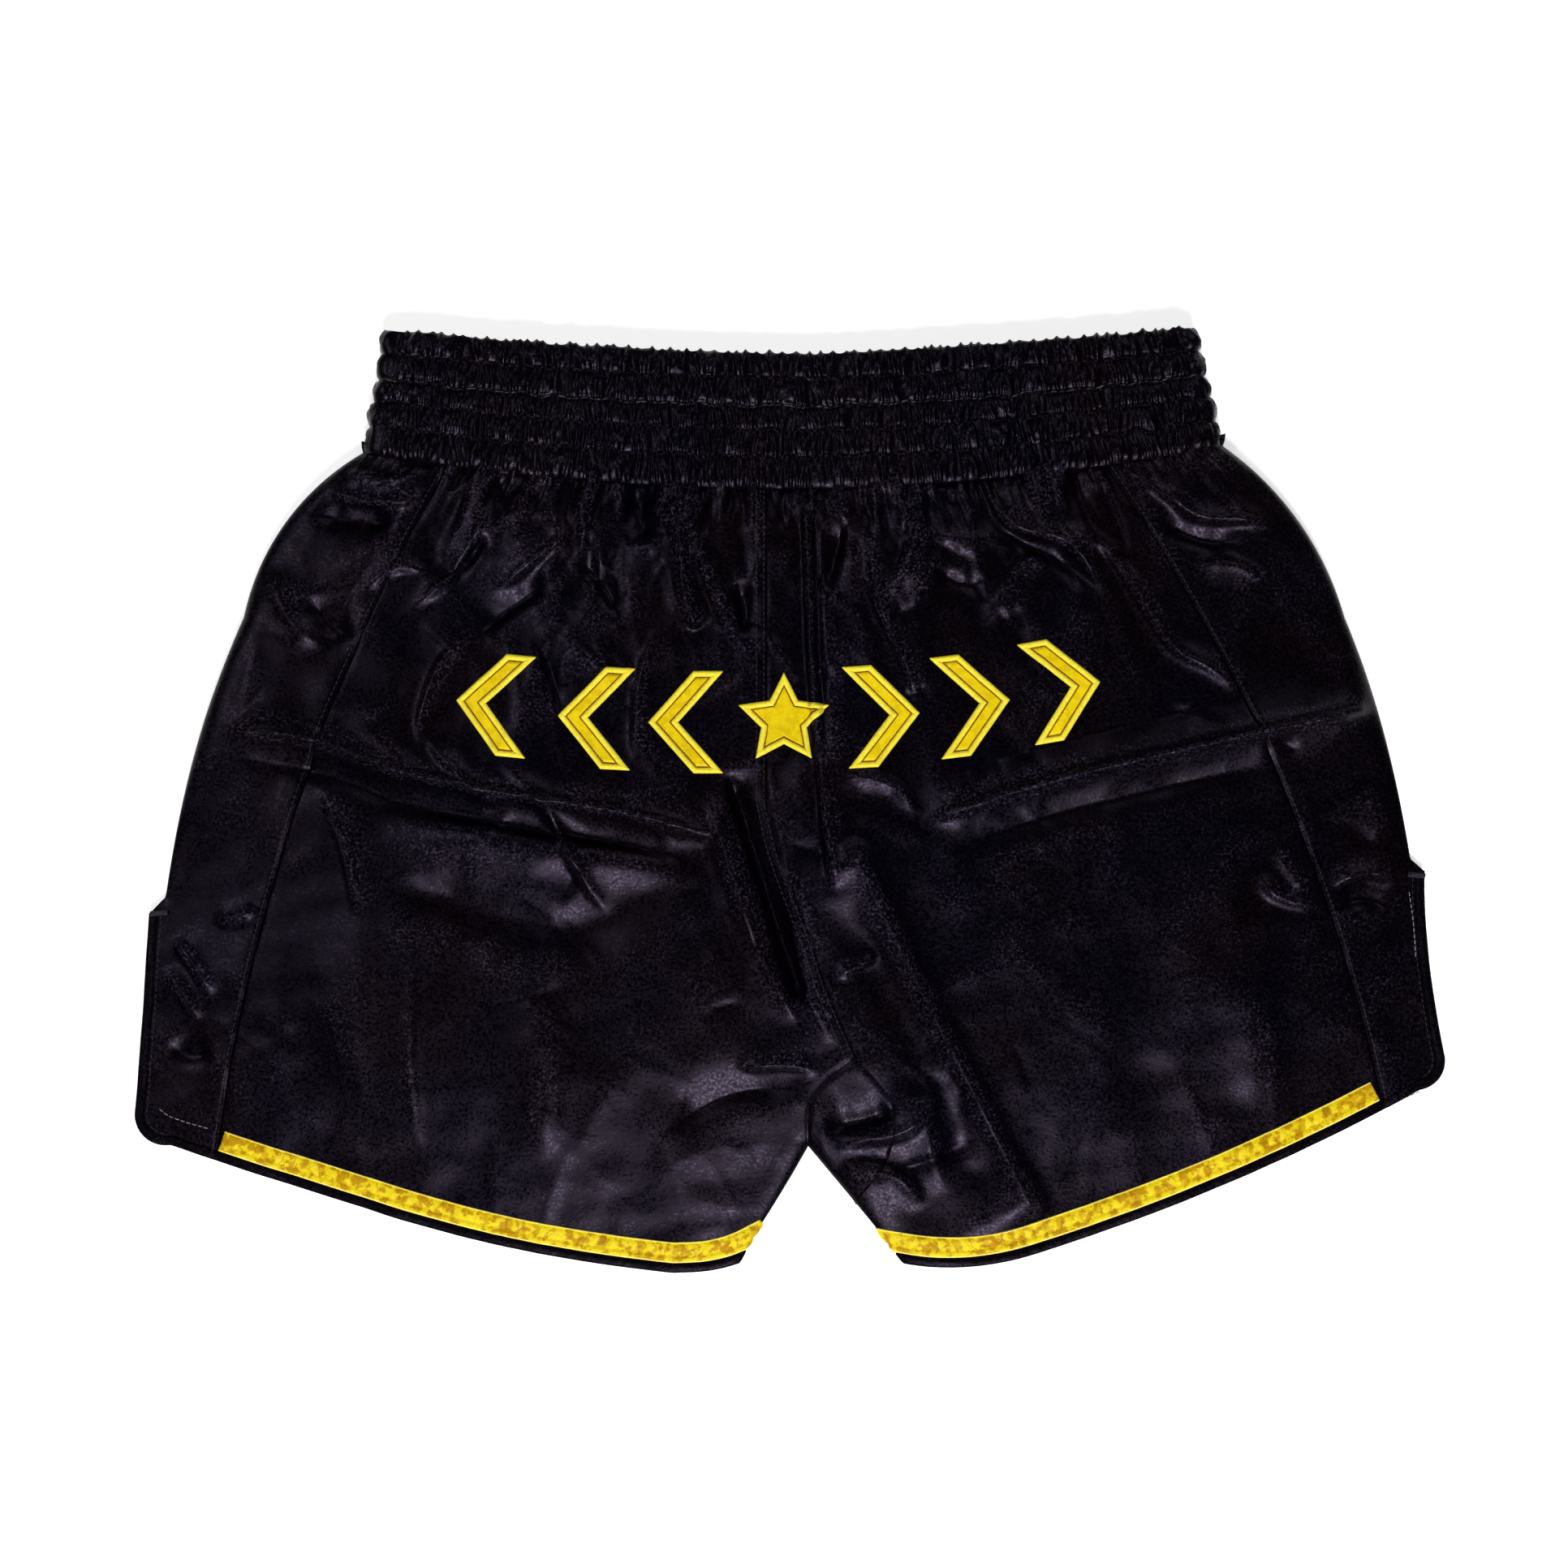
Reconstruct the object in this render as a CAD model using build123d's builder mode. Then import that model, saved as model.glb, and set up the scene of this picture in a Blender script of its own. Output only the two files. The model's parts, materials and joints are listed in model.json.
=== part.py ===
from build123d import *
import os

os.makedirs("parts", exist_ok=True)

# Boxing shorts lying flat, back upwards. Millimetres.
# +X points to the wearer's right, +Y to the waist and +Z up from the surface they lie on.
# The origin is at the middle of the outline's bounding box, on that surface.

# ---- Driving dimensions ----

body_height = 13.0  # gathered body, from the front layer's outside to the back layer's outside
cloth = 1.2  # satin with its seam allowance and lining of air
ribbon_depth = 0.6  # how deep the hem ribbon is let into the cloth
ribbon_width = 10.0
binding_width = 3.6  # bias binding seen along hem and vent
waistband_height = 16.0
casing_layer = 1.0  # shirred satin on each side of the elastic
elastic_layer = 1.5
elastic_top_margin = 3.0  # casing above the elastic: the ruffled top edge
elastic_bottom_margin = 4.0  # casing below it, down to the waist seam
fold_gap = 0.4  # room left between the two halves that fold on each other
clear_run = 60.0  # how far cutting shapes run past the garment

# Waist seam, between its two corners
waist_left = (-190, 155)
waist_left_dip = (-89, 142.6)
waist_centre = (-3, 139)
waist_right_dip = (85, 143)
waist_right = (193, 158)

# Top edge of the waistband
top_left = (-181, 209)
top_left_dip = (-98, 202)
top_centre = (11.5, 198)
top_right_dip = (112, 204)
top_right = (181, 210)

# Sides, vents and leg corners
left_hip = (-243, 82)
left_vent_top = (-279, -43)
left_vent_step = (-285.5, -50)
left_vent_foot = (-291.5, -137)
left_corner_end = (-276, -153)
right_hip = (247, 82)
right_vent_top = (277.6, -26)
right_vent_step = (283, -31)
right_vent_foot = (291.5, -112)
right_corner_end = (281, -128.5)

# Inner legs and the point of the crotch
crotch = (8.3, -154)
left_inner_leg = (-19, -199)
right_inner_leg = (51, -206)

# Centre-back seam, which leans to the right on its way to the crotch
seam_x = -10.0
seam_bend_y = -5.0
seam_limit_x = 19.5  # nothing of the left half passes this line, where the shorts fold
seam_low_y = -90.0
inseam_y = -121.0

# Side seams: top, bulge and foot of each arc
left_side_seam = [(-150, 152), (-225, -20), (-257.5, -170)]
right_side_seam = [(138, 152), (228, -15), (268, -150)]

# Emblem: chevrons that point outwards on each side of a star
chevron_width = 33.0
chevron_height = 45.0
chevron_stroke = 13.0
star_radius = 21.0
star_waist = 10.5
patch_thickness = 0.8
border_width = 2.2

bartack_length = 8.0
bartack_width = 2.4
bartack_height = 0.8


# ---- Outlines ----

def waistband_face(end_inset, bottom_lift, top_drop):
    """Waistband in plan, with its ends, lower edge and upper edge moved inwards."""
    left, right = end_inset, -end_inset
    ThreePointArc(
        (waist_left[0] + left, waist_left[1] + bottom_lift),
        (waist_left_dip[0], waist_left_dip[1] + bottom_lift),
        (waist_centre[0], waist_centre[1] + bottom_lift),
    )
    ThreePointArc(
        (waist_centre[0], waist_centre[1] + bottom_lift),
        (waist_right_dip[0], waist_right_dip[1] + bottom_lift),
        (waist_right[0] + right, waist_right[1] + bottom_lift),
    )
    Line(
        (waist_right[0] + right, waist_right[1] + bottom_lift),
        (top_right[0] + right, top_right[1] - top_drop),
    )
    ThreePointArc(
        (top_right[0] + right, top_right[1] - top_drop),
        (top_right_dip[0], top_right_dip[1] - top_drop),
        (top_centre[0], top_centre[1] - top_drop),
    )
    ThreePointArc(
        (top_centre[0], top_centre[1] - top_drop),
        (top_left_dip[0], top_left_dip[1] - top_drop),
        (top_left[0] + left, top_left[1] - top_drop),
    )
    Line(
        (top_left[0] + left, top_left[1] - top_drop),
        (waist_left[0] + left, waist_left[1] + bottom_lift),
    )


with BuildSketch() as body_outline:
    with BuildLine():
        ThreePointArc(waist_left, waist_left_dip, waist_centre)
        ThreePointArc(waist_centre, waist_right_dip, waist_right)
        ThreePointArc(waist_right, (221, 132), right_hip)
        ThreePointArc(right_hip, (266, 27), right_vent_top)
        Line(right_vent_top, right_vent_step)
        ThreePointArc(right_vent_step, (285.5, -76), right_vent_foot)
        ThreePointArc(right_vent_foot, (290, -123), right_corner_end)
        ThreePointArc(right_corner_end, (199, -168.5), (112, -201))
        ThreePointArc((112, -201), (83.5, -207), right_inner_leg)
        ThreePointArc(right_inner_leg, (29, -179), crotch)
        ThreePointArc(crotch, (-5, -177), left_inner_leg)
        ThreePointArc(left_inner_leg, (-30, -208), (-52, -210))
        ThreePointArc((-52, -210), (-104, -203), (-190, -181))
        ThreePointArc((-190, -181), (-233, -167.5), left_corner_end)
        ThreePointArc(left_corner_end, (-288, -149), left_vent_foot)
        ThreePointArc(left_vent_foot, (-288.5, -98), left_vent_step)
        Line(left_vent_step, left_vent_top)
        ThreePointArc(left_vent_top, (-265, 22), left_hip)
        ThreePointArc(left_hip, (-219, 131), waist_left)
    make_face()


def centre_seam(shift):
    """Centre-back seam and inseam, from above the waist down to between the legs."""
    Line((seam_x + shift, 240), (seam_x + shift, seam_bend_y))
    Spline(
        (seam_x + shift, seam_bend_y),
        (seam_x + 6 + shift, seam_bend_y - 22),
        (9.5 + shift, -61),
        (seam_limit_x + shift, seam_low_y),
        tangents=[(0, -1), (0.3, -1)],
    )
    Line((seam_limit_x + shift, seam_low_y), (seam_limit_x + shift, inseam_y))
    Line((seam_limit_x + shift, inseam_y), (crotch[0] - 0.2 + shift, -132))
    Line((crotch[0] - 0.2 + shift, -132), (crotch[0] - 0.2 + shift, -240))


# The left half, inside the left side seam
with BuildSketch() as left_half_zone:
    with BuildLine():
        centre_seam(0)
        Line((crotch[0] - 0.2, -240), (left_side_seam[2][0], -240))
        Line((left_side_seam[2][0], -240), left_side_seam[2])
        ThreePointArc(*reversed(left_side_seam))
        Line(left_side_seam[0], (left_side_seam[0][0], 240))
        Line((left_side_seam[0][0], 240), (seam_x, 240))
    make_face()

# The right half, inside the right side seam
with BuildSketch() as right_half_zone:
    with BuildLine():
        centre_seam(fold_gap)
        Line((crotch[0] - 0.2 + fold_gap, -240), (right_side_seam[2][0], -240))
        Line((right_side_seam[2][0], -240), right_side_seam[2])
        ThreePointArc(*reversed(right_side_seam))
        Line(right_side_seam[0], (right_side_seam[0][0], 240))
        Line((right_side_seam[0][0], 240), (seam_x + fold_gap, 240))
    make_face()

with BuildSketch() as left_side_zone:
    with BuildLine():
        ThreePointArc(*left_side_seam)
        Line(left_side_seam[2], (left_side_seam[2][0], -240))
        Line((left_side_seam[2][0], -240), (-320, -240))
        Line((-320, -240), (-320, 240))
        Line((-320, 240), (left_side_seam[0][0], 240))
        Line((left_side_seam[0][0], 240), left_side_seam[0])
    make_face()

with BuildSketch() as right_side_zone:
    with BuildLine():
        ThreePointArc(*right_side_seam)
        Line(right_side_seam[2], (right_side_seam[2][0], -240))
        Line((right_side_seam[2][0], -240), (320, -240))
        Line((320, -240), (320, 240))
        Line((320, 240), (right_side_seam[0][0], 240))
        Line((right_side_seam[0][0], 240), right_side_seam[0])
    make_face()

# Crotch gusset, right of the inseam and wrapped round the right inner leg
with BuildSketch() as gusset_zone:
    with BuildLine():
        Polyline(
            (19, -108),
            (44, -124),
            (47, -150),
            (24, -192),
            (0, -192),
            (0, -108),
            close=True,
        )
    make_face()

# Where the body stays open: the waist, each leg opening and each side vent
with BuildSketch() as body_mouths:
    with BuildLine():
        Polyline((-186, 190), (-183, 150), (-3, 120), (186, 150), (189, 190), close=True)
    make_face()
    with BuildLine():
        Polyline(
            (-29, -240),
            (-29, -200),
            (-100, -186),
            (-268, -130),
            (-272, -51),
            (-320, -51),
            (-320, -240),
            close=True,
        )
    make_face()
    with BuildLine():
        Polyline(
            (57, -240),
            (57, -196),
            (120, -180),
            (268, -112),
            (270, -34),
            (320, -34),
            (320, -240),
            close=True,
        )
    make_face()

# Binding follows the leg edge and the vent of each leg
with BuildSketch() as left_binding_zone:
    with BuildLine():
        Polyline(
            (-16, -240),
            (-16, -194),
            (-40, -190),
            (-268, -128),
            (-268, -44),
            (-320, -44),
            (-320, -240),
            close=True,
        )
    make_face()
    add(body_outline.sketch, mode=Mode.INTERSECT)
    offset(body_outline.sketch, amount=-binding_width, mode=Mode.SUBTRACT)

with BuildSketch() as right_binding_zone:
    with BuildLine():
        Polyline(
            (47, -240),
            (47, -198),
            (80, -190),
            (266, -108),
            (266, -27),
            (320, -27),
            (320, -240),
            close=True,
        )
    make_face()
    add(body_outline.sketch, mode=Mode.INTERSECT)
    offset(body_outline.sketch, amount=-binding_width, mode=Mode.SUBTRACT)

# Ribbon runs just above the binding, from the side seam round the inner leg
with BuildSketch() as left_ribbon_zone:
    with BuildLine():
        ThreePointArc((-257.5, -150.5), (-150, -186.8), (-4, -202.5))
    trace(line_width=ribbon_width)

with BuildSketch() as right_ribbon_zone:
    with BuildLine():
        ThreePointArc((26, -198), (69, -200.2), (112, -193))
        ThreePointArc((112, -193), (170, -171.2), (263, -127.5))
    trace(line_width=ribbon_width)


# ---- Body cloth ----

with BuildPart() as body_shell:
    extrude(body_outline.sketch, amount=body_height)
    with BuildSketch(Plane.XY.offset(cloth)):
        offset(body_outline.sketch, amount=-cloth)
        add(body_mouths.sketch)
    extrude(amount=body_height - 2 * cloth, mode=Mode.SUBTRACT)

with BuildPart() as ribbon_skin:
    extrude(body_outline.sketch, amount=body_height)
    with BuildSketch(Plane.XY.offset(ribbon_depth)):
        offset(body_outline.sketch, amount=-ribbon_depth)
        add(body_mouths.sketch)
    extrude(amount=body_height - 2 * ribbon_depth, mode=Mode.SUBTRACT)

back_layer = Plane.XY.offset(body_height - cloth)
halves = {"left": left_half_zone, "right": right_half_zone}
sides = {"left": left_side_zone, "right": right_side_zone}
ribbons = {"left": left_ribbon_zone, "right": right_ribbon_zone}
bindings = {"left": left_binding_zone, "right": right_binding_zone}

# Yellow ribbon round each leg
with BuildPart() as ribbon_bands:
    for zone in ribbons.values():
        extrude(zone.sketch, amount=body_height)

with BuildPart() as both_ribbons:
    add(ribbon_skin.part)
    add(ribbon_bands.part, mode=Mode.INTERSECT)

for side, zone in ribbons.items():
    with BuildPart() as hem_ribbon:
        add(both_ribbons.part)
        extrude(zone.sketch, amount=body_height, mode=Mode.INTERSECT)
    hem_ribbon.part.label = f"hem_ribbon_{side}"
    export_step(hem_ribbon.part, f"parts/hem_ribbon_{side}.step")

# Binding round each leg opening and its vent
for side, zone in bindings.items():
    with BuildPart() as leg_binding:
        add(body_shell.part)
        extrude(zone.sketch, amount=body_height, mode=Mode.INTERSECT)
        add(both_ribbons.part, mode=Mode.SUBTRACT)
    leg_binding.part.label = f"leg_binding_{side}"
    export_step(leg_binding.part, f"parts/leg_binding_{side}.step")

# Cloth that is left for the panels
with BuildPart() as panel_cloth:
    add(body_shell.part)
    for zone in bindings.values():
        extrude(zone.sketch, amount=body_height, mode=Mode.SUBTRACT)
    add(both_ribbons.part, mode=Mode.SUBTRACT)

for side, zone in halves.items():
    with BuildPart() as back_panel:
        add(panel_cloth.part)
        extrude(zone.sketch, amount=body_height, mode=Mode.INTERSECT)
        if side == "right":
            extrude(gusset_zone.sketch, amount=body_height, mode=Mode.SUBTRACT)
        split(bisect_by=back_layer, keep=Keep.TOP)
    back_panel.part.label = f"back_panel_{side}"
    export_step(back_panel.part, f"parts/back_panel_{side}.step")

    with BuildPart() as front_panel:
        add(panel_cloth.part)
        extrude(zone.sketch, amount=body_height, mode=Mode.INTERSECT)
        if side == "right":
            extrude(gusset_zone.sketch, amount=body_height, mode=Mode.SUBTRACT)
        split(bisect_by=back_layer, keep=Keep.BOTTOM)
    front_panel.part.label = f"front_panel_{side}"
    export_step(front_panel.part, f"parts/front_panel_{side}.step")

for side, zone in sides.items():
    with BuildPart() as side_panel:
        add(panel_cloth.part)
        extrude(zone.sketch, amount=body_height, mode=Mode.INTERSECT)
    side_panel.part.label = f"side_panel_{side}"
    export_step(side_panel.part, f"parts/side_panel_{side}.step")

with BuildPart() as crotch_gusset:
    add(panel_cloth.part)
    extrude(right_half_zone.sketch, amount=body_height, mode=Mode.INTERSECT)
    extrude(gusset_zone.sketch, amount=body_height, mode=Mode.INTERSECT)
crotch_gusset.part.label = "crotch_gusset"
export_step(crotch_gusset.part, "parts/crotch_gusset.step")


# ---- Waistband ----

elastic_wall = casing_layer + elastic_layer
waistband_wall = elastic_wall + casing_layer

# Wide elastic: one flat loop, seen here as the half on each side of the seam
with BuildPart() as elastic_loop:
    with BuildSketch(Plane.XY.offset(casing_layer)):
        with BuildLine():
            waistband_face(casing_layer, elastic_bottom_margin, elastic_top_margin)
        make_face()
    extrude(amount=waistband_height - 2 * casing_layer)
    with BuildSketch(Plane.XY.offset(elastic_wall)):
        with BuildLine():
            waistband_face(elastic_wall, -clear_run, -clear_run)
        make_face()
    extrude(amount=waistband_height - 2 * elastic_wall, mode=Mode.SUBTRACT)

with BuildPart() as casing_loop:
    with BuildSketch():
        with BuildLine():
            waistband_face(0, 0, 0)
        make_face()
    extrude(amount=waistband_height)
    with BuildSketch(Plane.XY.offset(waistband_wall)):
        with BuildLine():
            waistband_face(waistband_wall, -clear_run, -clear_run)
        make_face()
    extrude(amount=waistband_height - 2 * waistband_wall, mode=Mode.SUBTRACT)
    add(elastic_loop.part, mode=Mode.SUBTRACT)

waist_planes = {
    "left": (Plane.YZ.offset(seam_x), Keep.BOTTOM),
    "right": (Plane.YZ.offset(seam_x + fold_gap), Keep.TOP),
}
for side, (plane, kept) in waist_planes.items():
    with BuildPart() as waist_elastic:
        add(elastic_loop.part)
        split(bisect_by=plane, keep=kept)
    waist_elastic.part.label = f"waist_elastic_{side}"
    export_step(waist_elastic.part, f"parts/waist_elastic_{side}.step")

    with BuildPart() as waistband_casing:
        add(casing_loop.part)
        split(bisect_by=plane, keep=kept)
    waistband_casing.part.label = f"waistband_casing_{side}"
    export_step(waistband_casing.part, f"parts/waistband_casing_{side}.step")


# ---- Emblem ----

def chevron_lines():
    """An arrowhead that points to -X."""
    half = chevron_width / 2
    tall = chevron_height / 2
    Polyline(
        (-half, 0),
        (half - chevron_stroke, tall),
        (half, tall),
        (chevron_stroke - half, 0),
        (half, -tall),
        (half - chevron_stroke, -tall),
        close=True,
    )


def star_lines():
    """A star of five points, with one point up."""
    tips = [Vector(0, star_radius).rotate(Axis.Z, 72 * i) for i in range(5)]
    waists = [Vector(0, star_waist).rotate(Axis.Z, 72 * i + 36) for i in range(5)]
    corners = [corner for pair in zip(tips, waists) for corner in pair]
    Polyline(*corners, close=True)


# Each patch: name, drawing, centre, and how far it is turned
emblem = [
    ("chevron_left_outer", chevron_lines, (-131, 43), -6),
    ("chevron_left_middle", chevron_lines, (-86, 37), -3),
    ("chevron_left_inner", chevron_lines, (-46, 35), 0),
    ("star", star_lines, (-2.5, 36), 0),
    ("chevron_right_inner", chevron_lines, (41, 38), 184),
    ("chevron_right_middle", chevron_lines, (81, 43), 187),
    ("chevron_right_outer", chevron_lines, (121, 50), 190),
]
for name, drawing, centre, turn in emblem:
    patch_plane = Plane((centre[0], centre[1], body_height)).rotated((0, 0, turn))
    with BuildSketch(patch_plane) as patch_face:
        with BuildLine():
            drawing()
        make_face()
    with BuildSketch(patch_plane) as inner_face:
        offset(patch_face.sketch_local, amount=-border_width, kind=Kind.INTERSECTION)

    with BuildPart() as patch:
        extrude(inner_face.sketch, amount=patch_thickness)
    patch.part.label = f"patch_{name}"
    export_step(patch.part, f"parts/patch_{name}.step")

    with BuildPart() as border:
        extrude(patch_face.sketch, amount=patch_thickness)
        extrude(inner_face.sketch, amount=patch_thickness, mode=Mode.SUBTRACT)
    border.part.label = f"border_{name}"
    export_step(border.part, f"parts/border_{name}.step")


# ---- Bar-tacks at the top of each vent ----

bartacks = {"left": ((-281.5, -50), 5), "right": ((279.5, -33), -5)}
for side, (centre, turn) in bartacks.items():
    tack_plane = Plane((centre[0], centre[1], body_height)).rotated((0, 0, turn))
    with BuildPart() as vent_bartack:
        with BuildSketch(tack_plane):
            SlotOverall(bartack_length, bartack_width)
        extrude(amount=bartack_height)
    vent_bartack.part.label = f"vent_bartack_{side}"
    export_step(vent_bartack.part, f"parts/vent_bartack_{side}.step")
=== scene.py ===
import json
import math

import bmesh
import bpy
import numpy as np
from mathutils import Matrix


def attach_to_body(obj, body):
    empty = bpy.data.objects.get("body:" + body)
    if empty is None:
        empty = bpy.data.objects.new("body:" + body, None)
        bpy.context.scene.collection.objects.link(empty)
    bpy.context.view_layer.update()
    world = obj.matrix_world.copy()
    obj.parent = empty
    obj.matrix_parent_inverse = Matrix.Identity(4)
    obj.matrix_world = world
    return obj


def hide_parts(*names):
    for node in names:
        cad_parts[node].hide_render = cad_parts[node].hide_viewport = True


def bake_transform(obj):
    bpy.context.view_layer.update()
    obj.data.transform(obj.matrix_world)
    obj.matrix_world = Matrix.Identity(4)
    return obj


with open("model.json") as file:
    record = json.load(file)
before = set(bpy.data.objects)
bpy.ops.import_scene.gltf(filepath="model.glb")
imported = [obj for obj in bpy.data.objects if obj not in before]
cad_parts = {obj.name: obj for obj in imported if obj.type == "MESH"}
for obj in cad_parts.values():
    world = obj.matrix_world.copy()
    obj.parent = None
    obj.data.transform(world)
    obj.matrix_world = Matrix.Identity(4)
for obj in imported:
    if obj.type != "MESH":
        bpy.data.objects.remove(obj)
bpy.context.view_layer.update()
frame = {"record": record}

# Lengths in this script are millimetres; meshes are made in metres at the end.
# +X is the wearer's right, +Y the waist, +Z out of the back layer, which faces up.

MM = 0.001
TAU = 2 * math.pi
rng = np.random.default_rng(7)

# ---- Places, the same as the frame's ----

waist_left, waist_left_dip, waist_centre = (-190, 155), (-89, 142.6), (-3, 139)
waist_right_dip, waist_right = (85, 143), (193, 158)
top_left, top_left_dip, top_centre = (-181, 209), (-98, 202), (11.5, 198)
top_right_dip, top_right = (112, 204), (181, 210)
left_hip, left_vent_top, left_vent_step = (-243, 82), (-279, -43), (-285.5, -50)
left_vent_foot, left_corner, left_corner_end = (-291.5, -137), (-288, -149), (-276, -153)
right_hip, right_vent_top, right_vent_step = (247, 82), (277.6, -26), (283, -31)
right_vent_foot, right_corner, right_corner_end = (291.5, -112), (290, -123), (281, -128.5)
crotch, left_inner_leg, right_inner_leg = (8.3, -154), (-19, -199), (51, -206)
seam_end = (29.5, -113)  # where the centre-back seam meets the gusset
gusset_foot = (29, -179)
left_inner_corner = (-22.5, -205.8)
fold_x = frame["record"]["behaviour"]["joints"][0]["pos_m"][0] / MM
bend_half = 16.0  # half the width over which the cloth bends at the fold

floor_gap = 0.5  # middle of the front layer above the floor
loft_open = 3.6  # between the layers at a hem or vent
loft_full = 11.0  # and in the middle of the body
edge_round = 10.0  # width over which a folded edge curves down
cloth = 0.7


def placed(name, data):
    """A new object with this data, linked into the scene."""
    made = bpy.data.objects.new(name, data)
    bpy.context.collection.objects.link(made)
    return made


# ---- Curves in plan ----

def arc(a, b, c, count=32):
    """Points from a to c on the circle through a, b and c."""
    (ax, ay), (bx, by), (cx, cy) = a, b, c
    aa, bb, cc = ax * ax + ay * ay, bx * bx + by * by, cx * cx + cy * cy
    d = 2 * (ax * (by - cy) + bx * (cy - ay) + cx * (ay - by))
    ux = (aa * (by - cy) + bb * (cy - ay) + cc * (ay - by)) / d
    uy = (aa * (cx - bx) + bb * (ax - cx) + cc * (bx - ax)) / d
    radius = math.hypot(ax - ux, ay - uy)
    start, via, stop = (math.atan2(y - uy, x - ux) for x, y in (a, b, c))
    sweep, part = (stop - start) % TAU, (via - start) % TAU
    if part > sweep:
        sweep -= TAU
    t = start + sweep * np.linspace(0, 1, count + 1)
    return np.stack([ux + radius * np.cos(t), uy + radius * np.sin(t)], axis=1)


def join(*paths):
    """One path out of several that meet end to end."""
    out = [np.asarray(paths[0], float)]
    for path in paths[1:]:
        out.append(np.asarray(path, float)[1:])
    return np.concatenate(out)


def lengths(path):
    """Distance along a path to each of its points."""
    return np.concatenate([[0], np.cumsum(np.linalg.norm(np.diff(path, axis=0), axis=1))])


def resample(path, fractions):
    """Points at these fractions of the path's length."""
    path = np.asarray(path, float)
    run = lengths(path)
    at = np.asarray(fractions) * run[-1]
    return np.stack([np.interp(at, run, path[:, k]) for k in range(path.shape[1])], axis=1)


def smooth(points, steps=8):
    """A curve through given points (Catmull-Rom)."""
    p = np.asarray(points, float)
    if len(p) < 3:
        return resample(p, np.linspace(0, 1, steps + 1))
    p = np.concatenate([[2 * p[0] - p[1]], p, [2 * p[-1] - p[-2]]])
    out = []
    for i in range(1, len(p) - 2):
        t = np.linspace(0, 1, steps, endpoint=False)[:, None]
        a, b, c, d = p[i - 1], p[i], p[i + 1], p[i + 2]
        out.append(0.5 * (2 * b + (c - a) * t + (2 * a - 5 * b + 4 * c - d) * t**2
                          + (3 * b - a - 3 * c + d) * t**3))
    return np.concatenate(out + [p[-2:-1]])


waist_seam = join(arc(waist_left, waist_left_dip, waist_centre),
                  arc(waist_centre, waist_right_dip, waist_right))
waist_top = join(arc(top_left, top_left_dip, top_centre),
                 arc(top_centre, top_right_dip, top_right))
left_hip_edge = join(arc(waist_left, (-219, 131), left_hip),
                     arc(left_hip, (-265, 22), left_vent_top))
right_hip_edge = join(arc(waist_right, (221, 132), right_hip),
                      arc(right_hip, (266, 27), right_vent_top))
left_vent = join([left_vent_top, left_vent_step],
                 arc(left_vent_step, (-288.5, -98), left_vent_foot),
                 arc(left_vent_foot, left_corner, left_corner_end)[:17])
right_vent = join([right_vent_top, right_vent_step],
                  arc(right_vent_step, (285.5, -76), right_vent_foot),
                  arc(right_vent_foot, right_corner, right_corner_end)[:17])
left_hem = join(arc(left_vent_foot, left_corner, left_corner_end)[16:],
                arc(left_corner_end, (-233, -167.5), (-190, -181)),
                arc((-190, -181), (-104, -203), (-52, -210)),
                arc((-52, -210), (-36, -209.2), left_inner_corner))
right_hem = join(arc(right_vent_foot, right_corner, right_corner_end)[16:],
                 arc(right_corner_end, (199, -168.5), (112, -201)),
                 arc((112, -201), (83.5, -207), right_inner_leg))
left_inner = join([left_inner_corner], arc(left_inner_leg, (-5, -177), crotch))
right_inner = arc(right_inner_leg, gusset_foot, crotch)
gusset_start = int(np.argmin(np.hypot(*(right_inner - gusset_foot).T)))


def waist_y(x):
    """Height in plan of the waist seam."""
    return np.interp(x, waist_seam[:, 0], waist_seam[:, 1])


def top_y(x):
    """Height in plan of the waistband's top edge."""
    return np.interp(x, waist_top[:, 0], waist_top[:, 1])


def hem_y(x):
    """Lower edge of the legs; the order of the points rises along +X."""
    left, right = left_hem, right_hem[::-1]
    return np.where(x < 15, np.interp(x, left[:, 0], left[:, 1]),
                    np.interp(x, right[:, 0], right[:, 1]))


def inside(path):
    """The part of a path between the hem and the waist seam."""
    fine = resample(path, np.linspace(0, 1, 1501))
    keep = (fine[:, 1] <= waist_y(fine[:, 0])) & (fine[:, 1] >= hem_y(fine[:, 0]))
    return fine[keep]


# Seams, each from the hem up to the waist
left_side_seam = inside(arc((-257.5, -170), (-225, -20), (-150, 152)))
right_side_seam = inside(arc((268, -150), (228, -15), (138, 152)))
centre_seam = join(smooth([seam_end, (17, -84), (9.5, -61), (-4, -25), (-10, 0)]),
                   [(-10, 0), (-10, float(waist_y(-10.0)))])
inseam = smooth([crotch, (8.6, -138), (13, -126), seam_end])
gusset_right = smooth([gusset_foot, (44, -158), (45, -134), seam_end])


# ---- Distance to curves ----

def near(points, path, signed=False):
    """Distance from each point to a path, its place along it (0 to 1), and its side."""
    path = np.asarray(path, float)
    run = lengths(path)
    best = np.full(len(points), 1e9)
    along = np.zeros(len(points))
    side = np.ones(len(points))
    for i in range(len(path) - 1):
        a, d = path[i], path[i + 1] - path[i]
        size = float(d @ d)
        if size == 0:
            continue
        t = np.clip(((points - a) @ d) / size, 0, 1)
        off = points - a - t[:, None] * d
        dist = np.hypot(off[:, 0], off[:, 1])
        closer = dist < best
        best = np.where(closer, dist, best)
        along = np.where(closer, (run[i] + t * math.sqrt(size)) / run[-1], along)
        if signed:
            side = np.where(closer, np.sign(d[0] * off[:, 1] - d[1] * off[:, 0]), side)
    return best, along, side


def ease(t):
    """Smooth rise from 0 to 1."""
    t = np.clip(t, 0, 1)
    return t * t * (3 - 2 * t)


closed_edges = [left_hip_edge, right_hip_edge, left_inner, right_inner]
open_edges = [left_vent, left_hem, right_vent, right_hem]


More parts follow.
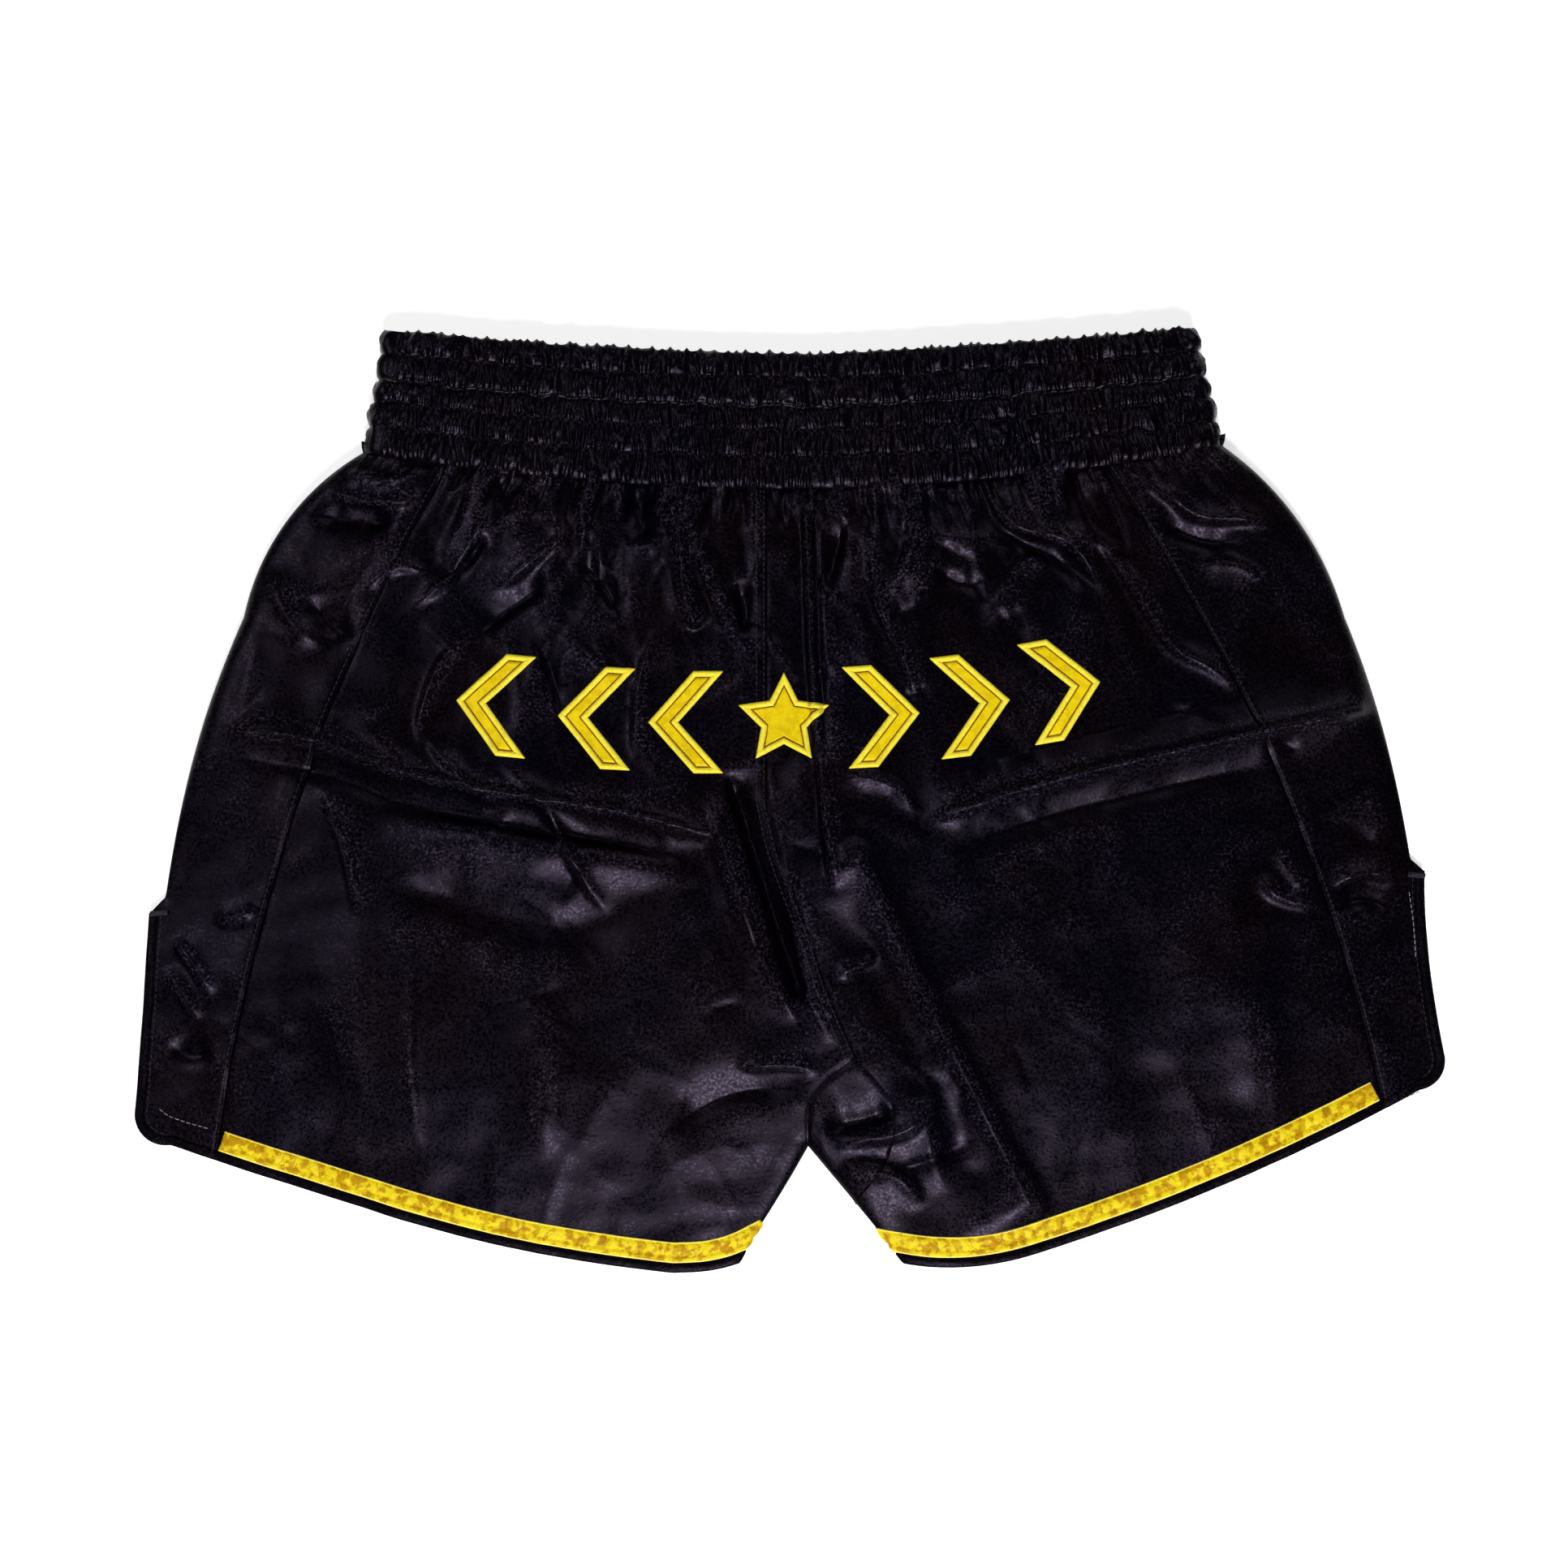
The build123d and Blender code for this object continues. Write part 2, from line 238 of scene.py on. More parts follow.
def edge_distance(points, edges, step=3):
    """Distance to the nearest edge, measured to every step-th point of it."""
    return np.min([near(points, np.concatenate([e[:-1:step], e[-1:]]))[0] for e in edges], axis=0)


def loft(points):
    """Room between the layers, before a folded edge closes it."""
    away = edge_distance(points, open_edges)
    return loft_open + (loft_full - loft_open) * ease(away / 95)


def roundness(points):
    """0 at a folded edge, 1 once the cloth lies level; a quarter of an ellipse between."""
    t = np.clip(edge_distance(points, closed_edges, 1) / edge_round, 0, 1)
    return np.sqrt(np.clip(1 - (1 - t) ** 2, 0, 1))


# ---- Relief of the back layer, on a square grid ----

cell = 1.0
grid_x = np.arange(-300, 300.5, cell)
grid_y = np.arange(-216, 166.5, cell)
gx, gy = np.meshgrid(grid_x, grid_y)
grid_points = np.stack([gx.ravel(), gy.ravel()], axis=1)


broad_fold = 9.0  # folds at least this wide keep both of their widths
gentle, steep = 1.8, 0.8  # widths of a narrow fold's two sides, against those given
fold_gain = 1.6


def fold(relief, points, height, left, right, sharp=1.6, taper=0.34):
    """Adds one fold: its height, its width on each side of the path, and how sharp its crest is.

    Cloth falls away gently on the wider side of a fold and steeply on the other."""
    path = smooth(points)
    if max(left, right) < broad_fold:
        left, right = ((gentle * left, steep * right) if left >= right
                       else (steep * left, gentle * right))
        sharp = min(sharp, 1.15)
    reach = 4 * max(left, right)
    low, high = path.min(0) - reach, path.max(0) + reach
    pick = np.flatnonzero(np.all((grid_points > low) & (grid_points < high), axis=1))
    dist, along, side = near(grid_points[pick], path, signed=True)
    width = np.where(side > 0, left, right)
    ends = ease(np.minimum(along, 1 - along) / taper + 0.02)
    relief[pick] += fold_gain * height * ends * np.exp(-((dist / width) ** sharp))


def ripple(count, spacing, width, seed, length):
    """A row of pleats at uneven spacing, as a function of the place along it."""
    local = np.random.default_rng(seed)
    at = np.cumsum(spacing * local.uniform(0.55, 1.45, count)) % length
    tall = local.uniform(0.35, 1.0, count)
    wide = width * local.uniform(0.7, 1.3, count)
    line = np.arange(0, length, 0.2)
    total = np.zeros_like(line)
    for a, h, w in zip(at, tall, wide):
        d = np.abs(line - a)
        d = np.minimum(d, length - d)
        total += h * np.exp(-((d / w) ** 1.5))
    total -= total.mean()
    return lambda s: np.interp(s, line, total, period=length)


def waves(points, count, short, long, seed):
    """Soft random undulation with these wavelengths."""
    local = np.random.default_rng(seed)
    total = np.zeros(len(points))
    for _ in range(count):
        turn, phase = local.uniform(0, TAU), local.uniform(0, TAU)
        k = TAU / local.uniform(short, long)
        total += np.cos(k * (points[:, 0] * math.cos(turn) + points[:, 1] * math.sin(turn)) + phase)
    return total / math.sqrt(count)


def patchy(x, y, wide, tall, seed):
    """Smooth random values between 0 and 1, on cells of this width and height."""
    local = np.random.default_rng(seed)
    table = local.uniform(0, 1, (256, 256))
    fx, fy = x / wide + 1000, y / tall + 1000
    ix, iy = np.floor(fx).astype(int), np.floor(fy).astype(int)
    tx, ty = ease(fx - ix), ease(fy - iy)
    ix, iy = ix % 255, iy % 255
    low = table[iy, ix] * (1 - tx) + table[iy, ix + 1] * tx
    high = table[iy + 1, ix] * (1 - tx) + table[iy + 1, ix + 1] * tx
    return low * (1 - ty) + high * ty


def creased(x, y, wide, tall, seed, sharp=1.0):
    """Ridges that wander and fork, from 0 to 1."""
    warp_x = 0.9 * wide * (patchy(x, y, 2.6 * wide, 1.6 * tall, seed + 1) - 0.5) * 2
    warp_y = 0.6 * tall * (patchy(x, y, 2.0 * wide, 2.0 * tall, seed + 2) - 0.5) * 2
    value = patchy(x + warp_x, y + warp_y, wide, tall, seed)
    return np.clip(1 - np.abs(2 * value - 1) * 1.5, 0, 1) ** sharp


relief = np.zeros(len(grid_points))

# Packing creases: one line across each half, with the hollows that run along them
packing_left = [(-252, 34), (-206, 26), (-173, 13.5), (-123, 3), (-73, -5), (-28, -17)]
packing_right = [(57, -10), (107, 6.5), (165, 21), (212, 31.5), (262, 42)]
# Each fold: path, height, width to its left and to its right, sharpness, length of tapered ends
folds = [
    (packing_left, 4.6, 15, 7, 1.0, 0.12),
    (packing_left, 0.9, 1.2, 1.2, 1.2, 0.1),
    ([(x, y - 14) for x, y in packing_left], -3.0, 8, 8, 2, 0.2),
    ([(-185, -6), (-150, -12), (-100, -22), (-50, -28), (-25, -30)], 2.4, 8, 11, 2),
    ([(-190, -30), (-150, -45), (-105, -58), (-60, -50)], -2.6, 11, 11, 2),
    (packing_right, 4.2, 13, 7, 1.0, 0.1),
    (packing_right, 0.9, 1.2, 1.2, 1.2, 0.1),
    ([(x, y + 16) for x, y in packing_right[:-1]], -1.6, 8, 8, 2),
    ([(x + 6, y - 14) for x, y in packing_right[:-1]], -2.4, 8, 8, 2),
    # Long diagonal of the right leg, and the deep folds beside the centre seam
    ([(26, -14), (40, -46), (75, -116), (113, -190)], 3.6, 5, 26, 1.2, 0.08),
    ([(20, -40), (48, -90), (84, -158), (100, -190)], -2.6, 14, 14, 2, 0.2),
    ([(-28, 14), (-20.5, -9), (-11, -40), (-1, -70), (7, -92)], -4.2, 4, 4, 1.6, 0.12),
    ([(-38, 10), (-31, -14), (-22, -44), (-12, -74)], 3.0, 7, 6, 1.7),
    ([(6.5, 136), (8, 100), (9.5, 60), (13.5, 14), (16, -12), (20, -40)], 2.6, 5, 1.7, 1.3, 0.08),
    ([(10.5, 134), (12, 100), (13.5, 60), (17, 16)], -1.8, 2.2, 4, 1.8, 0.1),
    ([(-4, -20), (3, -55), (9, -88), (22, -110)], 2.2, 3, 3, 1.4),
    ([(-17, -61), (-7, -78), (4, -100)], 1.8, 3, 4, 1.6),
    ([(19, -78), (40, -68)], 1.6, 3, 3, 1.5),
    ([(19, -156), (31, -150), (45, -148), (56, -142), (62, -128)], 2.6, 4, 4, 1.4),
    ([(21, -162), (36, -164), (47, -166), (53, -171), (60, -182)], 2.4, 3, 4, 1.3),
    ([(14, -146), (34, -142), (50, -136)], -2.6, 4, 4, 1.8),
    ([(-25, -118), (0, -117), (14, -121)], 1.8, 3, 3, 1.5),
    ([(-60, -150), (-30, -132), (-5, -128), (8, -131)], -2.4, 7, 7, 1.8),
    ([(38, -168), (62, -160), (84, -150)], -1.6, 5, 6, 2),
    ([(70, -176), (62, -150), (64, -120)], 1.4, 6, 6, 2),
    # Left leg and seat
    ([(-208, 9), (-202, -7), (-196, -24), (-191, -53)], 1.7, 3, 2, 1.1),
    ([(-163, 30), (-146, 12), (-127, -5)], 1.5, 2.5, 2.5, 1.2),
    ([(-130, 18), (-111, 1), (-101, -17), (-88, -40), (-78, -53)], 1.9, 3, 2.5, 1.1),
    ([(-206, 142), (-196, 134), (-173, 132), (-157, 138)], 2.0, 3, 3, 1.3),
    ([(-214, 128), (-195, 124), (-172, 123)], -2.2, 6, 6, 2),
    ([(-200, 148), (-180, 142), (-160, 146)], 1.4, 2.5, 3, 1.4),
    ([(-232, 104), (-222, 82), (-205, 66)], 1.9, 8, 8, 2),
    ([(-214, 92), (-203, 76), (-190, 74)], -1.9, 7, 6, 2),
    ([(-190, 92), (-174, 103), (-158, 101)], 1.3, 3, 3, 1.3),
    ([(-160, 96), (-146, 104), (-133, 118)], -2.3, 4, 4, 1.8),
    ([(-170, 84), (-152, 98), (-136, 122), (-132, 138)], 1.8, 3, 3, 1.3),
    ([(-140, 72), (-126, 84), (-104, 98)], -2.6, 5, 5, 1.8),
    ([(-132, 92), (-115, 105), (-95, 121)], 1.9, 3, 3, 1.2),
    ([(-94, 108), (-84, 97), (-74, 80)], -2.2, 4, 4, 1.7),
    ([(-54, 134), (-48, 113), (-47, 93), (-41, 75)], 2.8, 3, 3, 1.3, 0.1),
    ([(-46, 130), (-38, 104), (-30, 84), (-16, 61)], 2.2, 3, 3, 1.2),
    ([(-69, 140), (-66, 126), (-64, 112)], -3.0, 5, 5, 1.8),
    ([(-24, 98), (-20, 84), (-22, 72)], -2.4, 4, 4, 1.8),
    ([(-57, 80), (-66, 55), (-69, 16)], 1.2, 2.5, 2.5, 1.2),
    ([(-113, 74), (-105, 53), (-101, 36)], -1.4, 2.5, 2.5, 1.3),
    ([(-138, 76), (-154, 62), (-163, 38), (-163, 20)], 1.3, 2.5, 2.5, 1.2),
    ([(-276, -60), (-266, -72), (-256, -88)], 1.7, 3, 3, 1.4),
    ([(-280, -74), (-270, -86), (-262, -100)], 1.3, 3, 3, 1.5),
    ([(-258, -53), (-246, -52), (-236, -47)], 1.4, 3, 3, 1.4),
    ([(-278, -108), (-268, -114), (-256, -112)], -1.3, 4, 4, 1.8),
    ([(-166, -59), (-168, -110), (-164, -160)], 0.9, 2.5, 4, 1.3),
    ([(-120, -80), (-108, -120), (-112, -165)], 1.2, 9, 12, 2),
    ([(-226, -60), (-214, -100), (-212, -140)], -1.2, 12, 10, 2),
    # Right seat and side
    ([(24, 120), (34, 114), (40, 86), (51, 61), (59, 38)], 2.2, 3, 3, 1.2),
    ([(42, 86), (55, 116), (59, 136)], 2.1, 3, 4, 1.3),
    ([(26, 128), (20, 108), (16, 90)], -2.6, 4, 5, 1.8),
    ([(88, 134), (100, 121), (122, 115), (134, 100), (139, 90)], 2.6, 4, 2.5, 1.2),
    ([(92, 124), (108, 112), (124, 104), (132, 92)], -2.4, 5, 5, 1.8),
    ([(88, 84), (96, 97), (106, 107), (122, 108)], 1.5, 3, 4, 1.5),
    ([(62, 104), (78, 96), (90, 100)], -1.8, 6, 7, 2),
    ([(132, 122), (152, 95), (169, 69), (187, 58), (206, 42)], 2.0, 3, 3, 1.2),
    ([(150, 140), (165, 136), (181, 126), (204, 124), (220, 118)], 2.3, 3.5, 3, 1.3),
    ([(160, 126), (182, 116), (204, 114)], -2.3, 5, 5, 1.8),
    ([(177, 105), (196, 105), (214, 97)], 1.6, 3.5, 4, 1.4),
    ([(206, -30), (216, -42), (239, -48)], 1.8, 3, 3, 1.2),
    ([(213, -20), (222, -32), (231, -42)], 1.4, 3, 3, 1.3),
    ([(240, -38), (256, -32), (272, -36)], 2.3, 4, 3, 1.4),
    ([(242, -47), (256, -44), (270, -48)], -2.0, 4, 4, 1.8),
    ([(21, 14), (46, 7), (58, -8)], 1.5, 2.5, 3, 1.3),
    ([(256, 10), (262, -8), (258, -20)], 1.2, 5, 6, 1.8),
    ([(150, -40), (156, -90), (148, -150)], -1.3, 14, 16, 2),
    ([(196, -70), (206, -110), (204, -140)], 1.2, 12, 12, 2),
]
for shape in folds:
    fold(relief, *shape)

# Gathers that run down from the waistband, wander and fork as they go
below = np.maximum(waist_y(gx) - gy, 0).ravel()
px, py = grid_points[:, 0], grid_points[:, 1]
spread = px / (1 + below * 0.0035)
middle = 0.25 + 0.75 * ease((165 - np.abs(px + 5)) / 40)
patch = 0.35 + 1.1 * patchy(px, py, 34, 60, 31)
for height, wide, tall, seed, sharp, fade in ((3.6, 9, 26, 41, 1.3, 16),
                                              (6.0, 18, 44, 44, 1.2, 36)):
    relief += (height * (creased(spread, py, wide, tall, seed, sharp) - 0.4)
               * np.exp(-below / fade) * middle * patch)
around_waist, from_end = 800, 400  # length over which the pleats repeat, and half of it
wavy = spread + from_end + 3 * waves(grid_points, 8, 40, 90, 3)
relief += 1.8 * ripple(120, 6.4, 1.3, 11, around_waist)(spread + from_end) * np.exp(-below / 8)
relief += 3.2 * ripple(24, 32, 4.5, 13, around_waist)(wavy) * np.exp(-below / 62) * middle

# Crumples all over: a few broad, many fine and shallow
seat = np.exp(-below / 120)
turned_x, turned_y = 0.8 * px + 0.6 * py, 0.8 * py - 0.6 * px
relief += ((0.3 + 1.6 * seat) * (creased(px, py, 46, 40, 51, 1.5) - 0.3)
           * patchy(px, py, 70, 70, 61))
relief += ((0.2 + 1.0 * seat) * (creased(px, py, 20, 26, 54, 1.4) - 0.3)
           * patchy(px, py, 50, 50, 64) * middle)
relief += ((0.2 + 0.45 * seat) * (creased(turned_x, turned_y, 11, 30, 57, 2.0) - 0.2)
           * patchy(px, py, 36, 36, 67) * middle)

# Small creases in the satin: many near the seams and the waist, few elsewhere
for _ in range(150):
    x, y = rng.uniform(-275, 275), rng.uniform(-190, 150)
    crowd = math.exp(-max(float(waist_y(x)) - y, 0) / 90)
    if rng.uniform() > 0.3 + 0.7 * crowd:
        continue
    turn, size = rng.uniform(0.2, 1.3) * rng.choice([-1, 1]), rng.uniform(8, 26)
    bend = rng.uniform(-3, 3)
    dx, dy = size * math.cos(turn), size * math.sin(turn)
    path = [(x - dx, y - dy), (x + bend, y - bend), (x + dx, y + dy)]
    height = rng.uniform(-1, 1) * (0.5 + 0.8 * crowd)
    fold(relief, path, height, *rng.uniform(1.8, 4.5, 2), 1.5, 0.4)

relief += ((0.35 + 0.65 * seat) * waves(grid_points, 22, 55, 130, 5)
           + 0.16 * waves(grid_points, 30, 16, 40, 6))

# ---- Cloth simulation of the back layer's soft buckling ----

sheet_step = 4  # grid cells between the vertices of the simulated sheet
sheet_frames = 24
sheet_cloth = {"quality": 6, "mass": 0.12, "tension_stiffness": 18, "compression_stiffness": 18,
               "shear_stiffness": 6, "bending_stiffness": 0.4, "vertex_group_mass": "held",
               "shrink_min": -0.035}  # it grows by 3.5 %, and gravity is off


def edge_x(path, y):
    """Where an edge that runs up one side crosses these heights."""
    order = np.argsort(path[:, 1])
    return np.interp(y, path[order, 1], path[order, 0])


def simulate(start):
    """How far a slack satin sheet, held at its edges and seams, buckles from the start heights."""
    step = sheet_step
    rows, columns = gx[::step, ::step].shape
    flat = np.stack([gx[::step, ::step].ravel(), gy[::step, ::step].ravel()], axis=1)
    x, y = flat[:, 0], flat[:, 1]
    edge = edge_distance(flat, closed_edges + open_edges + [waist_seam])
    left_x = edge_x(join(left_hip_edge[::-1], left_vent[1:]), y)
    right_x = edge_x(join(right_hip_edge[::-1], right_vent[1:]), y)
    within = (y < waist_y(x)) & (y > hem_y(x)) & (x > left_x) & (x < right_x)
    within &= ~((y < crotch[1]) & (x > left_inner_leg[0]) & (x < right_inner_leg[0]))
    heights = start[::step, ::step].ravel()
    use = -np.ones(len(flat), int)
    use[within] = np.arange(within.sum())
    index = use.reshape(rows, columns)
    faces = np.stack([index[:-1, :-1], index[:-1, 1:], index[1:, 1:], index[1:, :-1]], axis=-1)
    faces = faces.reshape(-1, 4)
    faces = faces[(faces >= 0).all(axis=1)]
    mesh = bpy.data.meshes.new("slack_sheet")
    vertices = np.column_stack([flat[within], heights[within]]) * MM
    mesh.from_pydata(vertices.tolist(), [], faces.tolist())
    sheet = placed("slack_sheet", mesh)
    pins = sheet.vertex_groups.new(name="held")
    seams = [left_side_seam[::20], right_side_seam[::20], centre_seam[::4]]
    hold = np.maximum(1 - ease((edge[within] - 3) / 12),
                      0.35 * (1 - ease(edge_distance(flat[within], seams, 1) / 8)))
    for i, weight in enumerate(hold):
        if weight > 0.01:
            pins.add([i], float(weight), "REPLACE")
    modifier = sheet.modifiers.new("cloth", "CLOTH")
    for setting, value in sheet_cloth.items():
        setattr(modifier.settings, setting, value)
    modifier.settings.effector_weights.gravity = 0
    modifier.collision_settings.use_collision = False
    scene = bpy.context.scene
    scene.frame_start, scene.frame_end = 1, sheet_frames
    modifier.point_cache.frame_start, modifier.point_cache.frame_end = 1, sheet_frames
    for number in range(1, sheet_frames + 1):
        scene.frame_set(number)
    moved = sheet.evaluated_get(bpy.context.evaluated_depsgraph_get()).data
    result = np.zeros(len(moved.vertices) * 3)
    moved.vertices.foreach_get("co", result)
    lift = result.reshape(-1, 3)[:, 2] / MM - heights[within]
    bpy.data.objects.remove(sheet)
    bpy.data.meshes.remove(mesh)
    scene.frame_set(1)
    coarse = np.zeros(len(flat))
    drop = np.maximum(waist_y(x[within]) - y[within], 0)
    calm = 0.35 + 0.65 * ease((160 - np.abs(x[within] + 5)) / 40)
    coarse[within] = (0.22 + 1.5 * np.exp(-drop / 100)) * calm * np.tanh(lift / 2.5)
    coarse = coarse.reshape(rows, columns)
    across = np.stack([np.interp(grid_x, grid_x[::step], row) for row in coarse])
    full = np.stack([np.interp(grid_y, grid_y[::step], column) for column in across.T]).T
    kernel = np.array([1, 4, 6, 4, 1]) / 16
    for axis in (0, 1):
        full = np.apply_along_axis(lambda line: np.convolve(line, kernel, "same"), axis, full)
    return full


def blurred(field, size):
    """Gaussian blur of a grid field; size in millimetres."""
    reach = int(3 * size)
    kernel = np.exp(-0.5 * (np.arange(-reach, reach + 1) / size) ** 2)
    kernel /= kernel.sum()

    def blur_line(line):
        return np.convolve(np.pad(line, reach, mode="edge"), kernel, "valid")

    for axis in (0, 1):
        field = np.apply_along_axis(blur_line, axis, field)
    return field


# The edges of the folds sharpened, by adding what a blur takes away
relief = relief.reshape(gx.shape)
relief += 0.8 * (relief - blurred(relief, 2.0)) + 0.15 * (relief - blurred(relief, 7.0))

# Seams: a groove along the join, and the pressed allowance beside it
for path, turned in ((left_side_seam, 1), (right_side_seam, -1), (centre_seam, 1), (inseam, 1)):
    dist, along, side = near(grid_points, path[:: max(1, len(path) // 60)], signed=True)
    pucker = 0.6 + 0.8 * patchy(gx.ravel(), gy.ravel(), 5, 5, 71)
    shape = -0.55 * np.exp(-((dist / 1.0) ** 2))
    shape += 0.16 * np.where(side * turned > 0, ease(dist / 2) * ease((10 - dist) / 3), 0)
    relief += (shape * pucker).reshape(gx.shape)

relief = relief + simulate(relief)

# How far the cloth stands above its surroundings: 0 in a hollow, 1 on a crest. It sets the satin's
# painted highlight on a crest and painted shade in a hollow.
crest = np.clip(0.5 + 0.30 * (relief - blurred(relief, 9.0)), 0, 1)


def sample(field, points):
    """Bilinear value of a grid field at these points."""
    fx = np.clip((points[:, 0] - grid_x[0]) / cell, 0, len(grid_x) - 1.001)
    fy = np.clip((points[:, 1] - grid_y[0]) / cell, 0, len(grid_y) - 1.001)
    ix, iy = fx.astype(int), fy.astype(int)
    tx, ty = fx - ix, fy - iy
    low = field[iy, ix] * (1 - tx) + field[iy, ix + 1] * tx
    high = field[iy + 1, ix] * (1 - tx) + field[iy + 1, ix + 1] * tx
    return low * (1 - ty) + high * ty


def back_z(points):
    """Height of the back layer."""
    full, round_off = loft(points), roundness(points)
    level = floor_gap + full / 2 * (1 + round_off)
    bumps = sample(relief, points) * round_off**2
    room = full * round_off * 0.8
    return level + np.where(bumps < 0, -room * np.tanh(-bumps / np.maximum(room, 0.1)), bumps)


def front_z(points):
    """Height of the front layer, which lies on the floor."""
    full, round_off = loft(points), roundness(points)
    bumps = np.maximum(0.5 * waves(points, 20, 30, 90, 9), 0) * round_off
    return floor_gap + full / 2 * (1 - round_off) + np.minimum(bumps, 0.25 * full)


slope_span = 0.8  # half the distance over which the slope of the cloth is measured


def surface(points, lift=0.0):
    """Points on the back layer, raised along its normal, and the normals."""
    dx, dy = ((back_z(points + step) - back_z(points - step)) / (2 * slope_span)
              for step in ([slope_span, 0], [0, slope_span]))
    normal = np.stack([-dx, -dy, np.ones(len(points))], axis=1)
    normal /= np.linalg.norm(normal, axis=1)[:, None]
    return np.column_stack([points, back_z(points)]) + normal * lift, normal


# ---- Materials ----

def shader(name, roughness, specular, sheen=0.0, sheen_tint=(1, 1, 1)):
    """A new material, its node tree, its principled shader and the place in the object."""
    made = bpy.data.materials.new(name)
    made.use_nodes = True
    tree = made.node_tree
    base = tree.nodes["Principled BSDF"]
    base.inputs["Roughness"].default_value = roughness
    base.inputs["Specular IOR Level"].default_value = specular
    base.inputs["Sheen Weight"].default_value = sheen
    base.inputs["Sheen Roughness"].default_value = 0.35
    base.inputs["Sheen Tint"].default_value = (*sheen_tint, 1)
    place = tree.nodes.new("ShaderNodeTexCoord")
    return made, tree, base, place.outputs["Object"]


def fed(tree, kind, result, sources, **constants):
    """One output of a new node with these links into it and these constants on its sockets."""
    node = tree.nodes.new("ShaderNode" + kind)
    for socket, value in constants.items():
        node.inputs[socket].default_value = value
    for socket, source in sources.items():
        tree.links.new(source, node.inputs[socket])
    return node.outputs[result]


def noise(tree, place, size, detail):
    """Noise with features of about this size in millimetres."""
    return fed(tree, "TexNoise", "Fac", {"Vector": place}, Scale=1 / (size * MM), Detail=detail)


def ramp(tree, value, stops):
    """Colours against a value: (place, colour) pairs, where a single number stands for a grey."""
    node = tree.nodes.new("ShaderNodeValToRGB")
    elements = node.color_ramp.elements
    for i, (at, colour) in enumerate(stops):
        element = elements[i] if i < 2 else elements.new(at)
        element.position = at
        element.color = (*(colour if isinstance(colour, tuple) else (colour,) * 3), 1)
    tree.links.new(value, node.inputs["Fac"])
    return node.outputs["Color"]


def mixed(tree, kind, first, second):
    """Two colours added or multiplied in full."""
    node = tree.nodes.new("ShaderNodeMix")
    node.data_type = "RGBA"
    node.blend_type = kind
    node.inputs["Factor"].default_value = 1.0
    tree.links.new(first, node.inputs["A"])
    tree.links.new(second, node.inputs["B"])
    return node.outputs["Result"]


def weave(tree, place, pitch, turn):
    """Fine parallel yarns at this pitch in millimetres, turned by an angle."""
    turned = fed(tree, "Mapping", "Vector", {"Vector": place}, Rotation=(0, 0, turn))
    return fed(tree, "TexWave", "Fac", {"Vector": turned}, Scale=TAU / 20 / (pitch * MM),
               Distortion=0.6, Detail=1.0)


def bumped(tree, base, layers):
    """Bump layers on the shader: (height, strength, distance in millimetres) each."""
    below = {}
    for height, strength, distance in layers:
        below = {"Normal": fed(tree, "Bump", "Normal", {"Height": height, **below},
                               Strength=strength, Distance=distance * MM)}
    tree.links.new(below["Normal"], base.inputs["Normal"])


def satin(name, maroon, indigo, roughness, grain, shine):
    """Satin: slow shifts between two tints, an uneven gloss, diagonal yarns, and painted glints:
    bright flecks in the base colour, in random patches of painted sheen, brightest along the crest
    of a fold (painted highlight) and nearly gone in the hollows (painted shade)."""
    made, tree, base, place = shader(name, roughness, shine)
    base.inputs["Specular Tint"].default_value = (0.84, 0.66, 1.0, 1)
    tint = ramp(tree, noise(tree, place, 55, 3), [(0.36, maroon), (0.64, indigo)])
    # Painted glints: bright purple flecks in the base colour stand in for the glitter of light on
    # satin
    painted_glints = ramp(tree, noise(tree, place, 1.2 * grain, 3),
                  [(0.46, 0), (0.58, (0.007, 0.0052, 0.0088)), (0.70, (0.032, 0.025, 0.042))])
    # Random patches where the painted glints are stronger or fainter: painted sheen
    sheen_patches = ramp(tree, noise(tree, place, 34, 3), [(0.36, 0.3), (0.66, 0.85)])
    # The crest attribute makes the painted glints bright on the crest of a fold (painted highlight)
    # and nearly black in the hollows (painted shade)
    attribute = tree.nodes.new("ShaderNodeAttribute")
    attribute.attribute_name = "crest"
    crest_sheen = ramp(tree, attribute.outputs["Fac"], [(0.30, 0.02), (0.48, 0.28), (0.72, 1.5)])
    painted_sheen = mixed(tree, "MULTIPLY", mixed(tree, "MULTIPLY", painted_glints, sheen_patches), crest_sheen)
    # The painted sheen is added to the satin's own tint
    tree.links.new(mixed(tree, "ADD", tint, painted_sheen), base.inputs["Base Color"])
    gloss = ramp(tree, noise(tree, place, 1.3 * grain, 3),
                 [(0.36, roughness + 0.16), (0.64, roughness - 0.12)])
    tree.links.new(gloss, base.inputs["Roughness"])
    bumped(tree, base, [(noise(tree, place, 9, 2), 1.0, 0.14),
                        (noise(tree, place, 1.5 * grain, 3), 1.0, 0.10 * grain),
                        (noise(tree, place, 0.6 * grain, 2), 1.0, 0.04 * grain),
                        (weave(tree, place, 0.5, 0.8), 0.4, 0.03)])
    return made


def thread_material(name, colour, deep):
    """Twisted thread, from its light colour to its deep one."""
    made, tree, base, place = shader(name, 0.6, 0.15)
    tree.links.new(ramp(tree, noise(tree, place, 1.2, 3), [(0.3, deep), (0.7, colour)]),
                   base.inputs["Base Color"])
    bumped(tree, base, [(weave(tree, place, 0.35, 0.6), 0.6, 0.12)])
    return made


